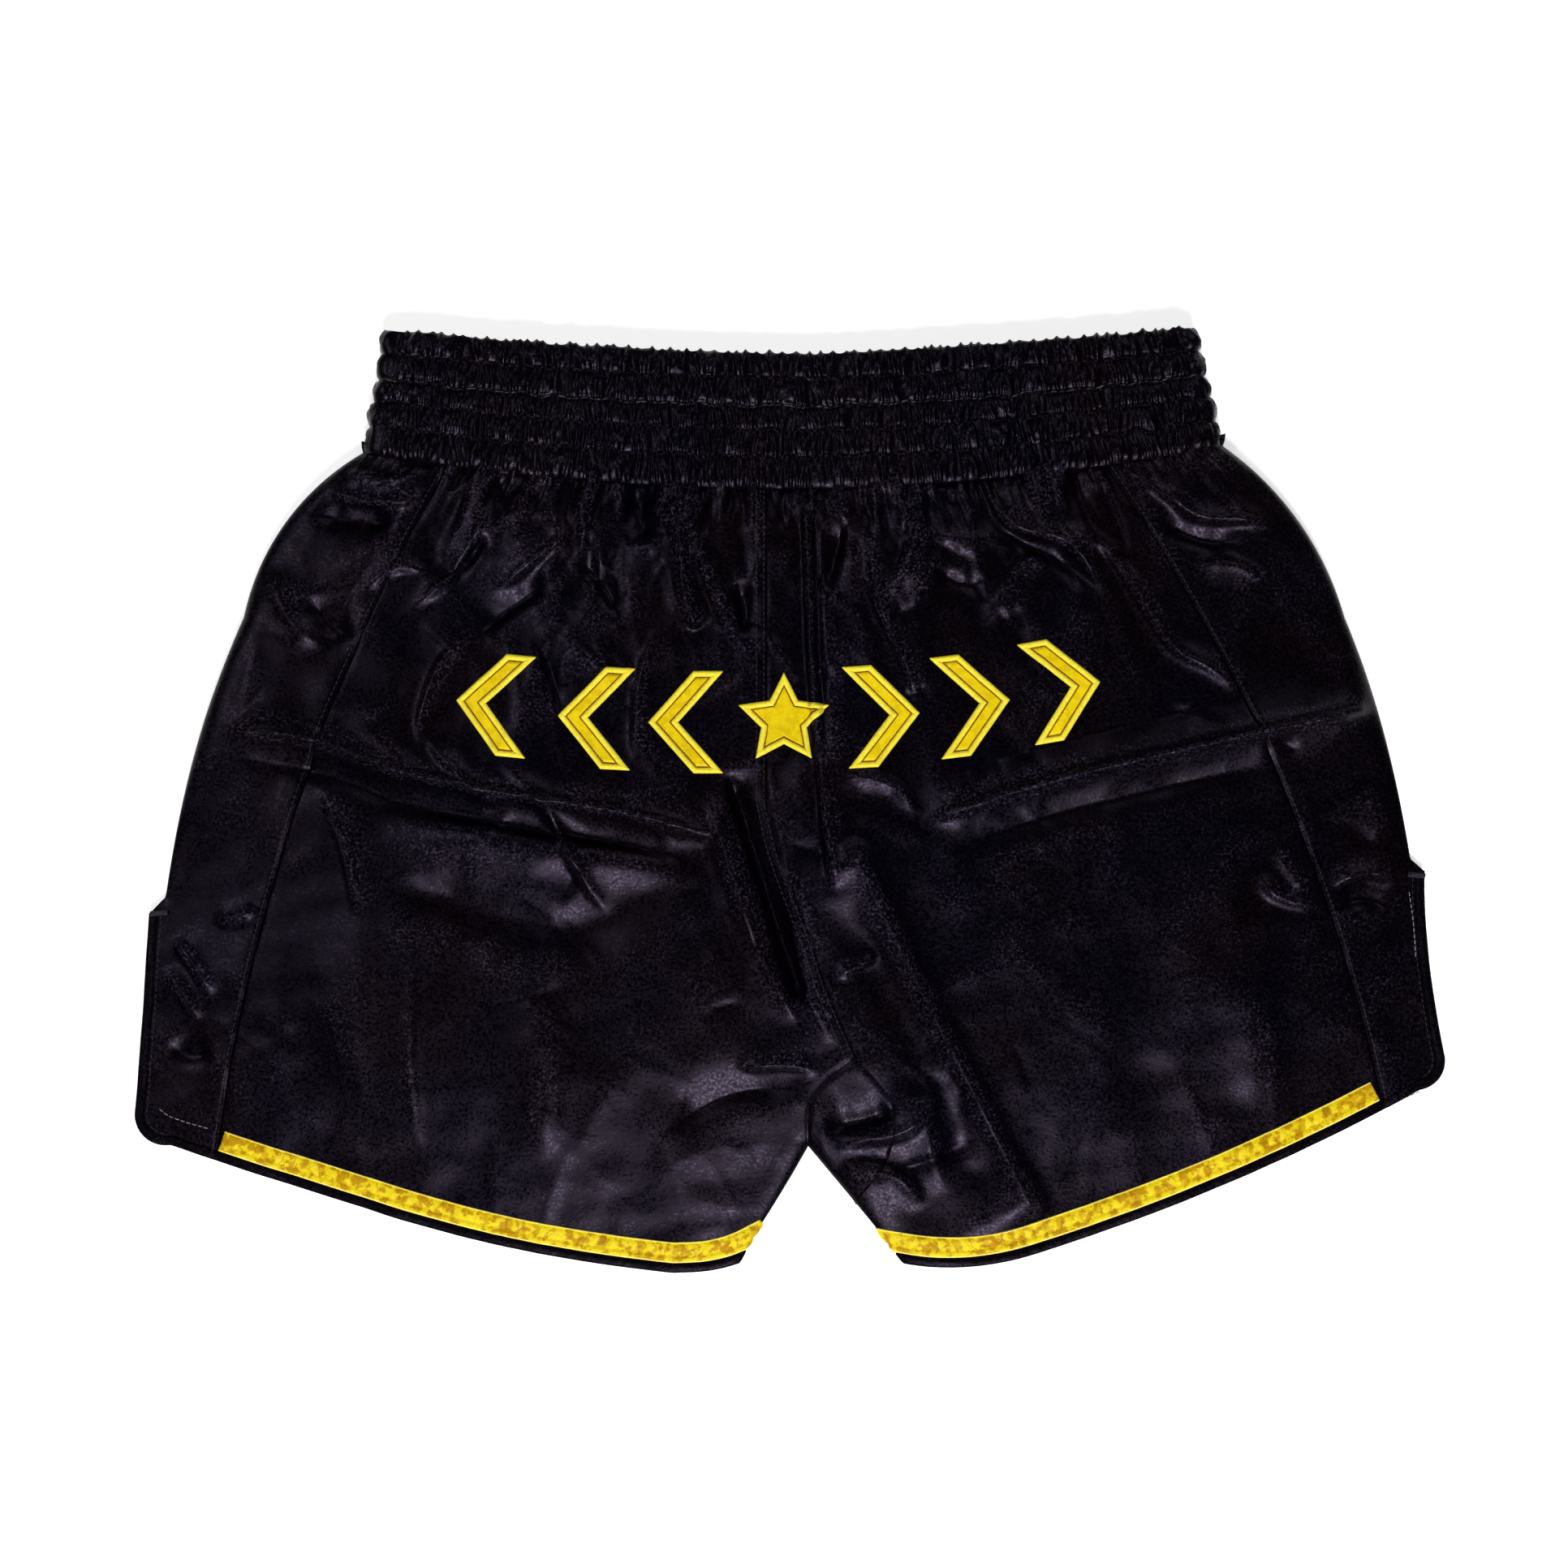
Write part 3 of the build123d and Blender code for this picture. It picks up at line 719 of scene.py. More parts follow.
black_satin = satin("black satin", (0.0008, 0.0001, 0.0004), (0.0002, 0.0002, 0.0014),
                    0.30, 1.0, 0.084)
band_satin = satin("gathered satin", (0.0008, 0.0001, 0.0004), (0.0002, 0.0002, 0.0012),
                   0.27, 0.9, 0.092)
binding_satin = satin("bias binding", (0.0006, 0.0002, 0.0004), (0.0003, 0.0002, 0.0008),
                      0.36, 0.8, 0.05)
black_thread = thread_material("black thread", (0.03, 0.027, 0.04), (0.012, 0.01, 0.016))
grey_thread = thread_material("pale thread", (0.32, 0.32, 0.36), (0.12, 0.12, 0.14))
lemon_thread = thread_material("lemon thread", (0.90, 0.80, 0.06), (0.78, 0.60, 0.02))
cream_thread = thread_material("cream thread", (0.95, 0.88, 0.22), (0.80, 0.62, 0.06))
amber_thread = thread_material("amber thread", (0.34, 0.14, 0.004), (0.14, 0.05, 0.002))


def ribbon_satin(name, light, deep, grain):
    """Yellow satin in small random patches of a light and a deep colour, with a soft lengthwise
    sheen; a darker copy of it is put in the ribbon's hollows as painted shade.
    """
    made, tree, base, place = shader(name, 0.42, 0.16)
    base.inputs["Specular Tint"].default_value = (1.0, 0.9, 0.4, 1)
    patches = ramp(tree, noise(tree, place, 3.8, 3), [(0.42, deep), (0.53, light)])
    yarns = ramp(tree, noise(tree, place, grain, 2), [(0.3, (0.8, 0.76, 0.6)), (0.7, 1)])
    tree.links.new(mixed(tree, "MULTIPLY", patches, yarns), base.inputs["Base Color"])
    bumped(tree, base, [(noise(tree, place, 2.2, 2), 0.35, 0.25),
                        (weave(tree, place, 0.45, 0.3), 0.4, 0.06)])
    return made


gold_ribbon = ribbon_satin("gold ribbon", (0.74, 0.59, 0.010), (0.46, 0.25, 0.002), 0.6)
# A darker copy of the ribbon satin, put on faces in the pucker hollows: painted shade
painted_shade_ribbon = ribbon_satin("shaded ribbon", (0.56, 0.36, 0.004), (0.36, 0.18, 0.002), 0.6)
gold_patch = ribbon_satin("gold patch", (0.78, 0.60, 0.004), (0.70, 0.50, 0.003), 0.5)


def elastic_material():
    """Dark knitted elastic with ribs both ways."""
    made, tree, base, place = shader("knitted elastic", 0.8, 0.25, 0.3, (0.6, 0.6, 0.6))
    tree.links.new(ramp(tree, noise(tree, place, 1.5, 3), [(0.3, 0.02), (0.7, 0.07)]),
                   base.inputs["Base Color"])
    bumped(tree, base, [(weave(tree, place, 1.6, 0), 0.8, 0.4),
                        (weave(tree, place, 0.8, 1.57), 0.6, 0.2)])
    return made


elastic_knit = elastic_material()


# ---- Meshes ----

def attach(piece):
    """A piece that crosses the fold keeps its place, on neither half; any other rides on its own
    half.
    """
    xs = np.array([v.co.x for v in piece.data.vertices]) / MM
    if xs.min() < fold_x + bend_half and xs.max() > fold_x - bend_half:
        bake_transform(piece)
    else:
        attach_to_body(piece, "left_half" if xs.mean() < fold_x else "right_half")


def make(name, points, faces, material, slot, nodes=(), thickness=0.0, extra=(), merge=False,
         crest_sheen=None):
    """A smooth mesh piece, thickened inwards, on the right body.

    extra: (material, faces that have it); crests: how near each point of black satin is to a crest,
    from 0 to 1, taken from the relief unless it is given; it sets the painted highlight and painted
    shade in the satin's base colour."""
    mesh = bpy.data.meshes.new(name)
    points = np.asarray(points, float).reshape(-1, 3) * MM
    mesh.from_pydata(points.tolist(), [], [tuple(int(i) for i in f) for f in faces])
    mesh.update()
    mesh.polygons.foreach_set("use_smooth", [True] * len(mesh.polygons))
    mesh.materials.append(material)
    index = np.zeros(len(mesh.polygons), int)
    for number, (other, chosen) in enumerate(extra, 1):
        mesh.materials.append(other)
        index[chosen] = number
    mesh.polygons.foreach_set("material_index", index.tolist())
    if merge:
        work = bmesh.new()
        work.from_mesh(mesh)
        bmesh.ops.remove_doubles(work, verts=work.verts, dist=0.02 * MM)
        work.to_mesh(mesh)
        work.free()
    # Satin pieces get the crest attribute, which paints highlight on a crest and shade in the
    # hollows into the base colour
    if slot in ("body_satin", "waistband_satin", "binding"):
        flat = np.array([v.co[:2] for v in mesh.vertices]) / MM
        values = sample(crest, flat) if crest_sheen is None else np.clip(crest_sheen, 0, 1)
        mesh.attributes.new("crest", "FLOAT", "POINT").data.foreach_set("value", values.tolist())
    piece = placed(name, mesh)
    attach(piece)
    if thickness:
        solid = piece.modifiers.new("thickness", "SOLIDIFY")
        solid.thickness = thickness * MM
        solid.offset = -1
        solid.use_even_offset = False
    if nodes:
        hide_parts(*nodes)
    return piece


def quads(rows, columns, start=0, around=False):
    """Faces of a grid of vertices, row by row; around joins the last column to the first."""
    wide = columns if around else columns - 1
    r, c = np.meshgrid(np.arange(rows - 1), np.arange(wide), indexing="ij")
    n = (c + 1) % columns
    this, above = r * columns, (r + 1) * columns
    return np.stack([this + c, this + n, above + n, above + c], axis=-1).reshape(-1, 4) + start


def blend_patch(bottom, top, left, right, us, vs):
    """A grid that fills the space between four curves (Coons patch), row by row from the bottom."""
    b, t, l, r = resample(bottom, us), resample(top, us), resample(left, vs), resample(right, vs)
    u, v = us[None, :, None], vs[:, None, None]
    corners = (1 - u) * (1 - v) * b[0] + u * (1 - v) * b[-1] + (1 - u) * v * t[0] + u * v * t[-1]
    return (1 - v) * b[None] + v * t[None] + (1 - u) * l[:, None] + u * r[:, None] - corners


def between(path, x_low, x_high):
    """The part of a path that rises along +X between two places."""
    path = np.asarray(path, float)
    if path[0, 0] > path[-1, 0]:
        path = path[::-1]
    xs = path[:, 0]
    middle = path[(xs > x_low + 0.01) & (xs < x_high - 0.01)]
    ends = [[x, np.interp(x, xs, path[:, 1])] for x in (x_low, x_high)]
    return np.concatenate([ends[:1], middle, ends[1:]])


def near_edge(width, step, at_end=False):
    """Places across a panel, closer together where its folded edge curves down."""
    turn = np.linspace(0, math.pi / 2, 9)
    close = edge_round * (1 - np.cos(turn)) / width
    rest = np.linspace(close[-1], 1, max(2, int((width - edge_round) / step) + 1))[1:]
    places = np.concatenate([close, rest])
    return 1 - places[::-1] if at_end else places


def tucked(plan):
    """Adds rows that run on under the waistband."""
    return np.concatenate([plan, plan[-1:] + [0, 2.0], plan[-1:] + [0, 4.5]])


def layer(plan, height):
    """A plan grid as a list of points at the height of a layer."""
    flat = plan.reshape(-1, 2)
    return np.column_stack([flat, height(flat)])


step_fine, step_coarse = 1.5, 3.5


def panel_plans(step):
    """Plan grids of every panel at this spacing."""
    up = np.linspace(0, 1, int(340 / step))
    plans = {}
    foot, head = left_side_seam[0], left_side_seam[-1]
    plans["left"] = blend_patch(
        between(left_hem, foot[0], left_inner[0, 0]),
        between(waist_seam, head[0], centre_seam[-1, 0]),
        left_side_seam, join(left_inner, inseam, centre_seam), near_edge(250, step, True), up)
    plans["side_left"] = blend_patch(
        between(left_hem, left_hem[0, 0], foot[0]), between(waist_seam, waist_left[0], head[0]),
        join(left_vent[::-1], left_hip_edge[::-1]), left_side_seam, near_edge(62, step), up)
    foot, head = right_side_seam[0], right_side_seam[-1]
    plans["right"] = blend_patch(
        between(right_hem, right_inner[0, 0], foot[0]),
        between(waist_seam, centre_seam[-1, 0], head[0]),
        join(right_inner[:gusset_start + 1], gusset_right, centre_seam), right_side_seam,
        near_edge(230, step), up)
    plans["side_right"] = blend_patch(
        between(right_hem, foot[0], right_hem[0, 0]), between(waist_seam, head[0], waist_right[0]),
        right_side_seam, join(right_vent[::-1], right_hip_edge[::-1]),
        near_edge(62, step, True), up)
    middle = len(gusset_right) // 2
    plans["gusset"] = blend_patch(
        gusset_right[:middle + 1], inseam, right_inner[gusset_start:], gusset_right[middle:],
        near_edge(40, step), np.linspace(0, 1, int(44 / step)))
    for name in ("left", "side_left", "right", "side_right"):
        plans[name] = tucked(plans[name])
    return plans


plans = panel_plans(step_fine)
front_plans = panel_plans(step_coarse)


lap_width, lap_drop = 2.5, 0.9  # how far a panel runs on under its neighbour, and below it


def lapped(plan, sides):
    """Runs a panel on under its neighbours; returns the plan and how far each point drops.

    A side is an axis of the grid (0 for rows, 1 for columns) and its end (0 or -1)."""
    down = np.zeros(plan.shape[:2])
    for axis, end in sides:
        grid, drops = np.moveaxis(plan, axis, 0), np.moveaxis(down, axis, 0)
        inner = 1 if end == 0 else -2
        out = grid[end] - grid[inner]
        extra = grid[end] + lap_width * out / np.maximum(np.linalg.norm(out, axis=1), 1e-6)[:, None]
        drops[end] = np.maximum(drops[end], lap_drop * 0.6)
        lower = np.full_like(drops[end], lap_drop)
        order = (lambda new, old: [new, old]) if end == 0 else (lambda new, old: [old, new])
        grid = np.concatenate(order(extra[None], grid))
        drops = np.concatenate(order(lower[None], drops))
        plan, down = np.moveaxis(grid, 0, axis), np.moveaxis(drops, 0, axis)
    return plan, down


def both_layers(name, edge_column, node):
    """A panel that folds round the edge: a back and a front layer that share their folded edge."""
    sides = [(1, -1 if edge_column == 0 else 0)]
    if name == "gusset":
        sides += [(0, 0), (0, -1)]
    plan, down = lapped(plans[name], sides)
    edge_column += edge_column > 0
    rows, columns = plan.shape[:2]
    back, front = layer(plan, back_z), layer(plan, front_z)
    level = np.ones((rows, columns))
    level[:, edge_column] = 0
    back[:, 2] -= (down * level).ravel()
    front[:, 2] += (down * level).ravel() * 0.5
    edge = np.arange(rows) * columns + edge_column
    count = rows * columns
    shared = np.abs(back[edge, 2] - front[edge, 2]) < 0.05
    number = np.arange(count) + count
    number[edge[shared]] = edge[shared]
    faces = quads(rows, columns)
    under = number[faces][:, ::-1]
    points = np.concatenate([back, front])
    used = np.unique(np.concatenate([faces.ravel(), under.ravel()]))
    new = -np.ones(2 * count, int)
    new[used] = np.arange(len(used))
    return make(f"{node}_cloth", points[used], new[np.concatenate([faces, under])], black_satin,
                "body_satin", [node], cloth)


for side in ("left", "right"):
    plan, front = plans[side], front_plans[side]
    name = f"back_panel_{side}"
    make(f"{name}_cloth", layer(plan, back_z), quads(*plan.shape[:2]),
                        black_satin, "body_satin", [name], cloth)
    name = f"front_panel_{side}"
    make(f"{name}_cloth", layer(front, front_z), quads(*front.shape[:2])[:, ::-1],
                        black_satin, "body_satin", [name], cloth)
last_column = plans["side_right"].shape[1] - 1
for name, edge_column, node in (("side_left", 0, "side_panel_left"),
                                ("side_right", last_column, "side_panel_right"),
                                ("gusset", 0, "crotch_gusset")):
    both_layers(name, edge_column, node)


# ---- Waistband ----

band_middle, band_half = 7.9, 6.6  # height of the loop's middle, and half its thickness
# Five rows between stitched lines, from the waist seam to the top edge
row_breaks = [0.0, 0.225, 0.425, 0.60, 0.81, 1.0]
row_puff = [1.5, 1.4, 1.2, 1.5, 1.6]  # how far each row swells out
row_pleat = [(3.3, 0.75), (2.8, 0.62), (2.7, 0.6), (3.1, 0.68), (5.0, 1.0)]  # spacing, crest width
row_depth = [1.95, 1.8, 1.7, 1.85, 2.1]
row_steps = 9  # rings of vertices in a row
band_run = 365.0  # length of the flattened loop between its two rounded ends
band_height = 56  # from the waist seam to the top edge
broad_pleat = 11, 3.5  # spacing and crest width
stitch_groove, deep_groove = 0.1, 0.7  # the line at 0.60 is sewn deepest


def band_columns(back_step, front_step, cap_steps):
    """Columns round the flattened loop: place between the ends, angle, and distance along it."""
    run = band_run
    back = np.linspace(0, 1, int(run / back_step))
    front = np.linspace(1, 0, int(run / front_step))
    cap = np.linspace(90, -90, cap_steps + 2)[1:-1]
    across = np.concatenate([back, np.full(cap_steps, 1), front, np.full(cap_steps, 0)])
    angle = np.radians(np.concatenate([np.full(len(back), 90), cap, np.full(len(front), -90),
                                       -180 - cap[::-1]]))
    bend = math.pi * band_half
    s = np.concatenate([back * run, run + bend * (90 - cap) / 180, run + bend + (1 - front) * run,
                        2 * run + bend + bend * (90 - cap) / 180])
    return across, angle, s, 2 * (run + bend)


def band_ring(v, across, angle, out):
    """One ring of the waistband at height v, moved outwards by out."""
    left = waist_left[0] + (top_left[0] - waist_left[0]) * v + band_half + 1.0
    right = waist_right[0] + (top_right[0] - waist_right[0]) * v - band_half - 1.0
    centre = left + (right - left) * across
    x = centre + (band_half + out) * np.cos(angle)
    z = band_middle + (band_half + out) * np.sin(angle)
    y = waist_y(x) + (top_y(x) - waist_y(x)) * v
    return np.stack([x, y, np.maximum(z, 0.15)], axis=1)


def wander(s, y, loop, seed):
    """Sideways wandering of the pleats, in millimetres; it repeats round the loop."""
    local = np.random.default_rng(seed)
    total = np.zeros_like(s)
    for _ in range(10):
        turns = local.integers(20, 60)
        rate, phase = local.uniform(-0.35, 0.35), local.uniform(0, TAU)
        total += np.cos(TAU * turns * s / loop + rate * y + phase)
    return total / math.sqrt(10)


def waistband():
    """The gathered casing, one closed loop: outside, top ruffle, inside and hem.

    Each row of pleats goes from one random set at its foot to another at its head, with a third
    set and some broad ones strongest in the middle."""
    across, angle, s, loop = band_columns(0.5, 1.2, 14)
    rings, crest_sheen = [], []
    for row in range(5):
        low, high = row_breaks[row], row_breaks[row + 1]
        spacing, width = row_pleat[row]
        pleats = [ripple(int(loop / spacing), spacing, width, 20 + 3 * row + k, loop)
                  for k in range(3)]
        broad = ripple(int(loop / broad_pleat[0]), *broad_pleat, 60 + row, loop)
        for k in range(row_steps if row < 4 else row_steps + 1):
            t = k / row_steps
            arch = math.sin(math.pi * t)
            at = s + 1.1 * wander(s, band_height * (low + (high - low) * t), loop, 90 + row)
            fork = ease(np.array(t * 1.6 - 0.3))
            rise = (1 - fork) * pleats[0](at) + fork * pleats[1](at) + 0.45 * arch * pleats[2](at)
            rise = rise * (0.55 + 0.45 * arch) + 0.5 * arch * broad(at)
            sewn = deep_groove if row == 3 else stitch_groove
            groove = -sewn if k == 0 and row else 0.0
            swell = 1 + 0.5 * wander(s, 0, loop, 130 + row)
            out = row_puff[row] * swell * arch**0.8 - 0.4 + row_depth[row] * rise + groove
            ring = band_ring(low + (high - low) * t, across, angle, out)
            if row == 4:
                ring[:, 1] += (1.7 * pleats[1](s) + 0.8 * broad(s)) * t**3
            else:
                ring[:, 1] += 0.7 * wander(s, 0, loop, 40 + row) * (1 - t) * (row > 0)
                ring[:, 1] += 0.7 * wander(s, 0, loop, 41 + row) * t
            if row == 0 and k == 0:
                ring = band_ring(0, across, angle, -0.9 + 0.6 * rise)
                ring[:, 1] -= 0.6 + 0.8 * broad(s) + 0.5 * pleats[1](s)
            rings.append(ring)
            # How high the cloth stands on a pleat and in the swollen middle of a row: it sets the
            # satin's painted highlight there and painted shade between pleats
            crest_sheen.append(0.29 + 0.46 * rise + 0.13 * arch)
    # Over the top edge, down the inside, and a hem under the lowest row
    ruffle = rings[-1][:, 1] - top_y(rings[-1][:, 0])
    for inward, drop in ((-1.2, 0.2), (-2.6, 0.9), (-3.4, 2.4)):
        ring = band_ring(1.0, across, angle, inward)
        ring[:, 1] += ruffle * 0.6 - drop
        rings.append(ring)
    for v in (0.8, 0.6, 0.4, 0.2, 0.0):
        ring = band_ring(v, across, angle, -3.6 + 0.35 * pleats[1](s))
        rings.append(ring)
    hem = band_ring(0, across, angle, -1.6)
    hem[:, 1] -= 1.2
    rings.append(hem)
    rings.append(rings[0])
    count, columns = len(rings) - 1, len(across)
    faces = quads(count + 1, columns, 0, True)
    faces[faces >= count * columns] -= count * columns
    points = np.concatenate(rings[:-1])
    # The inside of the loop gets a low value, so little painted sheen
    crest_sheen = np.concatenate(crest_sheen + [0.3 + 0 * s] * (count - len(crest_sheen)))
    return make("waistband", points, faces[:, ::-1], band_satin, "waistband_satin",
                ["waistband_casing_left", "waistband_casing_right"], crest_sheen=crest_sheen)


def waist_elastic():
    """Flat ribbed elastic, one loop inside the casing."""
    across, angle, _, _ = band_columns(3, 3, 12)
    heights = np.linspace(0.08, 0.93, 41)
    outer = [band_ring(v, across, angle, -1.0 - 0.12 * (i % 2)) for i, v in enumerate(heights)]
    inner = [band_ring(v, across, angle, -2.1 + 0.12 * (i % 2)) for i, v in enumerate(heights)]
    rings = outer + inner[::-1]
    columns = len(across)
    faces = quads(len(rings) + 1, columns, 0, True)
    faces %= len(rings) * columns
    return make("waist_elastic", np.concatenate(rings), faces[:, ::-1], elastic_knit, "elastic",
                ["waist_elastic_left", "waist_elastic_right"])


waistband()
waist_elastic()


# ---- Hem ribbon and binding ----

def shifted(path, amount):
    """A path moved sideways, to the left of its direction."""
    path = resample(path, np.linspace(0, 1, int(lengths(path)[-1] / 1.5)))
    tangent = np.gradient(path, axis=0)
    kernel = np.ones(5) / 5
    padded = np.pad(tangent, ((2, 2), (0, 0)), mode="edge")
    tangent = np.stack([np.convolve(padded[:, k], kernel, "valid") for k in (0, 1)], axis=1)
    tangent /= np.linalg.norm(tangent, axis=1)[:, None]
    return path + amount * np.stack([-tangent[:, 1], tangent[:, 0]], axis=1)


def clipped(line, edge):
    """A line cut off where it crosses an edge, which runs on past its first end."""
    edge = np.vstack([edge[0] + 10 * (edge[0] - edge[1]) / np.linalg.norm(edge[0] - edge[1]), edge])
    dist, along, side = near(line, edge, signed=True)
    for i in range(len(line) // 2, len(line) - 1):
        if side[i] != side[i + 1] and dist[i] < 5 and 0 < along[i] < 1:
            t = dist[i] / (dist[i] + dist[i + 1])
            return np.vstack([line[:i + 1], line[i] + t * (line[i + 1] - line[i])])
    return line


def outward(grid, back_rows):
    """Normals of a grid of points, turned so that they point up on its back-layer rows."""
    normal = np.cross(np.gradient(grid, axis=0), np.gradient(grid, axis=1))
    normal /= np.maximum(np.linalg.norm(normal, axis=2), 1e-9)[:, :, None]
    return -normal if normal[:back_rows, :, 2].mean() < 0 else normal


def leg_strip(route, inner_edge, offsets, step, turned):
    """Grid round a leg: along the back layer to the inner edge, and back along the front layer."""
    lines = []
    count = int(lengths(route)[-1] / step)
    for offset in offsets:
        line = clipped(shifted(route, offset * turned), inner_edge)
        total = lengths(line)[-1]
        plain = np.linspace(0, 1 - 8 / total, count)
        close = 1 - (8 / total) * (1 - np.sin(np.linspace(0, math.pi / 2, 9)))[1:]
        lines.append(resample(line, np.concatenate([plain, close])))
    plan = np.stack(lines, axis=1)
    back = layer(plan, back_z).reshape(*plan.shape[:2], 3)
    front = layer(plan, front_z).reshape(*plan.shape[:2], 3)
    return np.concatenate([back, front[::-1][1:]]), len(back)


left_hem_line = join(arc(left_corner_end, (-233, -167.5), (-190, -181)),
                     arc((-190, -181), (-104, -203), (-52, -210)),
                     smooth([(-52, -210), (-36, -209.2), (-22.5, -205.8), (-8, -199)]))
right_hem_line = join(arc(right_corner_end, (199, -168.5), (112, -201)),
                      arc((112, -201), (83.5, -207), right_inner_leg),
                      [right_inner_leg, (35, -203.5), (20, -200)])
# Hem, inner edge, vent, side seam, rounded corner between vent and hem, and the side they turn to
legs = {
    "left": (left_hem_line, left_inner, left_vent, left_side_seam, left_hem[:16], 1),
    "right": (right_hem_line, right_inner, right_vent, right_side_seam, right_hem[:16], -1),
}
ribbon_low, ribbon_high = 3.9, 13.4  # from the hem edge
ribbon_step, binding_step = 0.8, 1.3


def hem_ribbon(side):
    """Gathered yellow ribbon round a leg, sewn near its upper edge and along a lower line."""
    hem, inner, _, seam, _, turned = legs[side]
    foot = seam[0] + (seam[12] - seam[0]) * 0.4
    keep = hem[:, 0] > foot[0] if side == "left" else hem[:, 0] < foot[0]
    rising = hem if side == "left" else hem[::-1]
    route = hem if keep.all() else join([[foot[0], np.interp(foot[0], *rising.T)]], hem[keep])
    across = np.array([0, 0.03, 0.08, 0.14, 0.2, 0.27, 0.34, 0.4,
                       0.5, 0.6, 0.7, 0.8, 0.88, 0.94, 0.97, 1])
    offsets = ribbon_low + (ribbon_high - ribbon_low) * across
    grid, back_rows = leg_strip(route, inner, offsets, ribbon_step, turned)
    normal = outward(grid, back_rows)
    s = np.arange(len(grid)) * ribbon_step
    seed = 70 if side == "left" else 170
    wide = ripple(int(s[-1] / 6.0), 6.0, 1.5, seed, s[-1] + 5)
    small = ripple(int(s[-1] / 2.6), 2.6, 0.75, seed + 1, s[-1] + 5)
    upper = np.clip(np.sin(np.pi * np.clip((across - 0.3) / 0.66, 0, 1)), 0, 1) ** 0.6
    lower = np.clip(np.sin(np.pi * np.clip((across - 0.05) / 0.27, 0, 1)), 0, 1) ** 0.7
    pucker = np.stack([0.75 * wide(s + 5 * (a - 0.6)) * high + 0.2 * small(s - 4 * a) * high
                       + 0.4 * small(s + 6 * a) * low
                       for a, high, low in zip(across, upper, lower)], axis=1)
    edge = np.interp(across, [0, 0.03, 0.08, 0.14, 0.27, 0.34, 0.5, 0.8, 0.94, 0.97, 1],
                     [0.1, 0.8, 0.75, 1.0, 0.95, 0.45, 1.0, 1.0, 0.5, 0.8, 0.1])
    points = grid + normal * (edge[None, :] + pucker)[:, :, None]
    points[:, :, 2] = np.maximum(points[:, :, 2], 0.06)
    # Faces in the pucker hollows, and short runs along the groove between the two bands, take the
    # darker copy of the ribbon satin: painted shade
    hollow_shade = (pucker < np.quantile(pucker, 0.22)) & (upper + lower > 0.3)[None, :]
    hollow_shade |= (np.abs(across - 0.345) < 0.03)[None, :] & (wide(s * 1.3) < 0.05)[:, None]
    shaded = (hollow_shade[:-1, :-1] & hollow_shade[1:, 1:]).ravel()
    pale = np.zeros((len(grid) - 1, len(across) - 1), bool)
    pale[:, [0, 1, -2, -1]] = True
    faces = quads(*grid.shape[:2])
    if turned > 0:
        faces = faces[:, ::-1]
    name = f"hem_ribbon_{side}"
    return make(f"{name}_satin", points, faces, gold_ribbon, "ribbon", [name], 0.35,
                [(painted_shade_ribbon, shaded), (cream_thread, pale.ravel())])


def leg_binding(side):
    """Bias binding folded over the raw edge, up both layers of the vent and round the leg."""
    hem, inner, vent, _, corner, turned = legs[side]
    route = np.concatenate([vent[1:-1], corner, hem])
    ring = np.array([(3.7, 0.15), (3.3, 0.75), (2.0, 0.85), (0.6, 0.85), (-0.45, 0.45),
                     (-0.6, -0.3), (-0.4, -0.95), (0.6, -1.3), (2.0, -1.3), (3.4, -1.1)])
    grid, back_rows = leg_strip(route, inner, ring[:, 0], binding_step, turned)
    line, _ = leg_strip(route, inner, np.array([0.6, 1.8, 3.0]), binding_step, turned)
    normal = outward(line, back_rows)[:, 1:2]
    s = np.arange(len(grid)) * binding_step
    ruck = ripple(int(s[-1] / 3.4), 3.4, 0.9, 76 if side == "left" else 77, s[-1] + 5)(s)
    lift = ring[:, 1][None, :] + 0.16 * ruck[:, None] * (ring[:, 1] > 0)
    points = grid + normal * lift[:, :, None]
    points[:, :, 2] = np.maximum(points[:, :, 2], 0.05)
    rows, columns = grid.shape[:2]
    faces = quads(rows, columns, 0, True)
    if turned < 0:
        faces = faces[:, ::-1]
    caps = [list(range(columns)), list(range((rows - 1) * columns, rows * columns))]
    caps[0 if turned > 0 else 1].reverse()
    name = f"leg_binding_{side}"
    return make(f"{name}_tape", points, list(faces) + caps, binding_satin, "binding", [name])


for side in legs:
    hem_ribbon(side)
    leg_binding(side)


# ---- Emblem ----

chevron_width, chevron_height, chevron_stroke = 33.0, 45.0, 13.0
star_radius, star_waist, border_width = 21.0, 10.5, 2.2


def inset(corners, amount):
    """A closed outline moved inwards (corners run anticlockwise), keeping sharp corners."""
    out = []
    for i in range(len(corners)):
        before, here, after = corners[i - 1], corners[i], corners[(i + 1) % len(corners)]
        d1, d2 = here - before, after - here
        n1 = np.array([-d1[1], d1[0]]) / np.linalg.norm(d1)
        n2 = np.array([-d2[1], d2[0]]) / np.linalg.norm(d2)
        out.append(here + amount * (n1 + n2) / (1 + n1 @ n2))
    return np.array(out)


def chevron_corners():
    """An arrowhead that points to -X, anticlockwise from its tip."""
    half, tall = chevron_width / 2, chevron_height / 2
    return np.array([(-half, 0), (half - chevron_stroke, -tall), (half, -tall),
                     (chevron_stroke - half, 0), (half, tall), (half - chevron_stroke, tall)])


def star_corners():
    """A five-pointed star, anticlockwise from its upper point."""
    turns = math.pi / 2 + np.arange(10) * TAU / 10
    radii = np.where(np.arange(10) % 2, star_waist, star_radius)
    return np.stack([radii * np.cos(turns), radii * np.sin(turns)], axis=1)


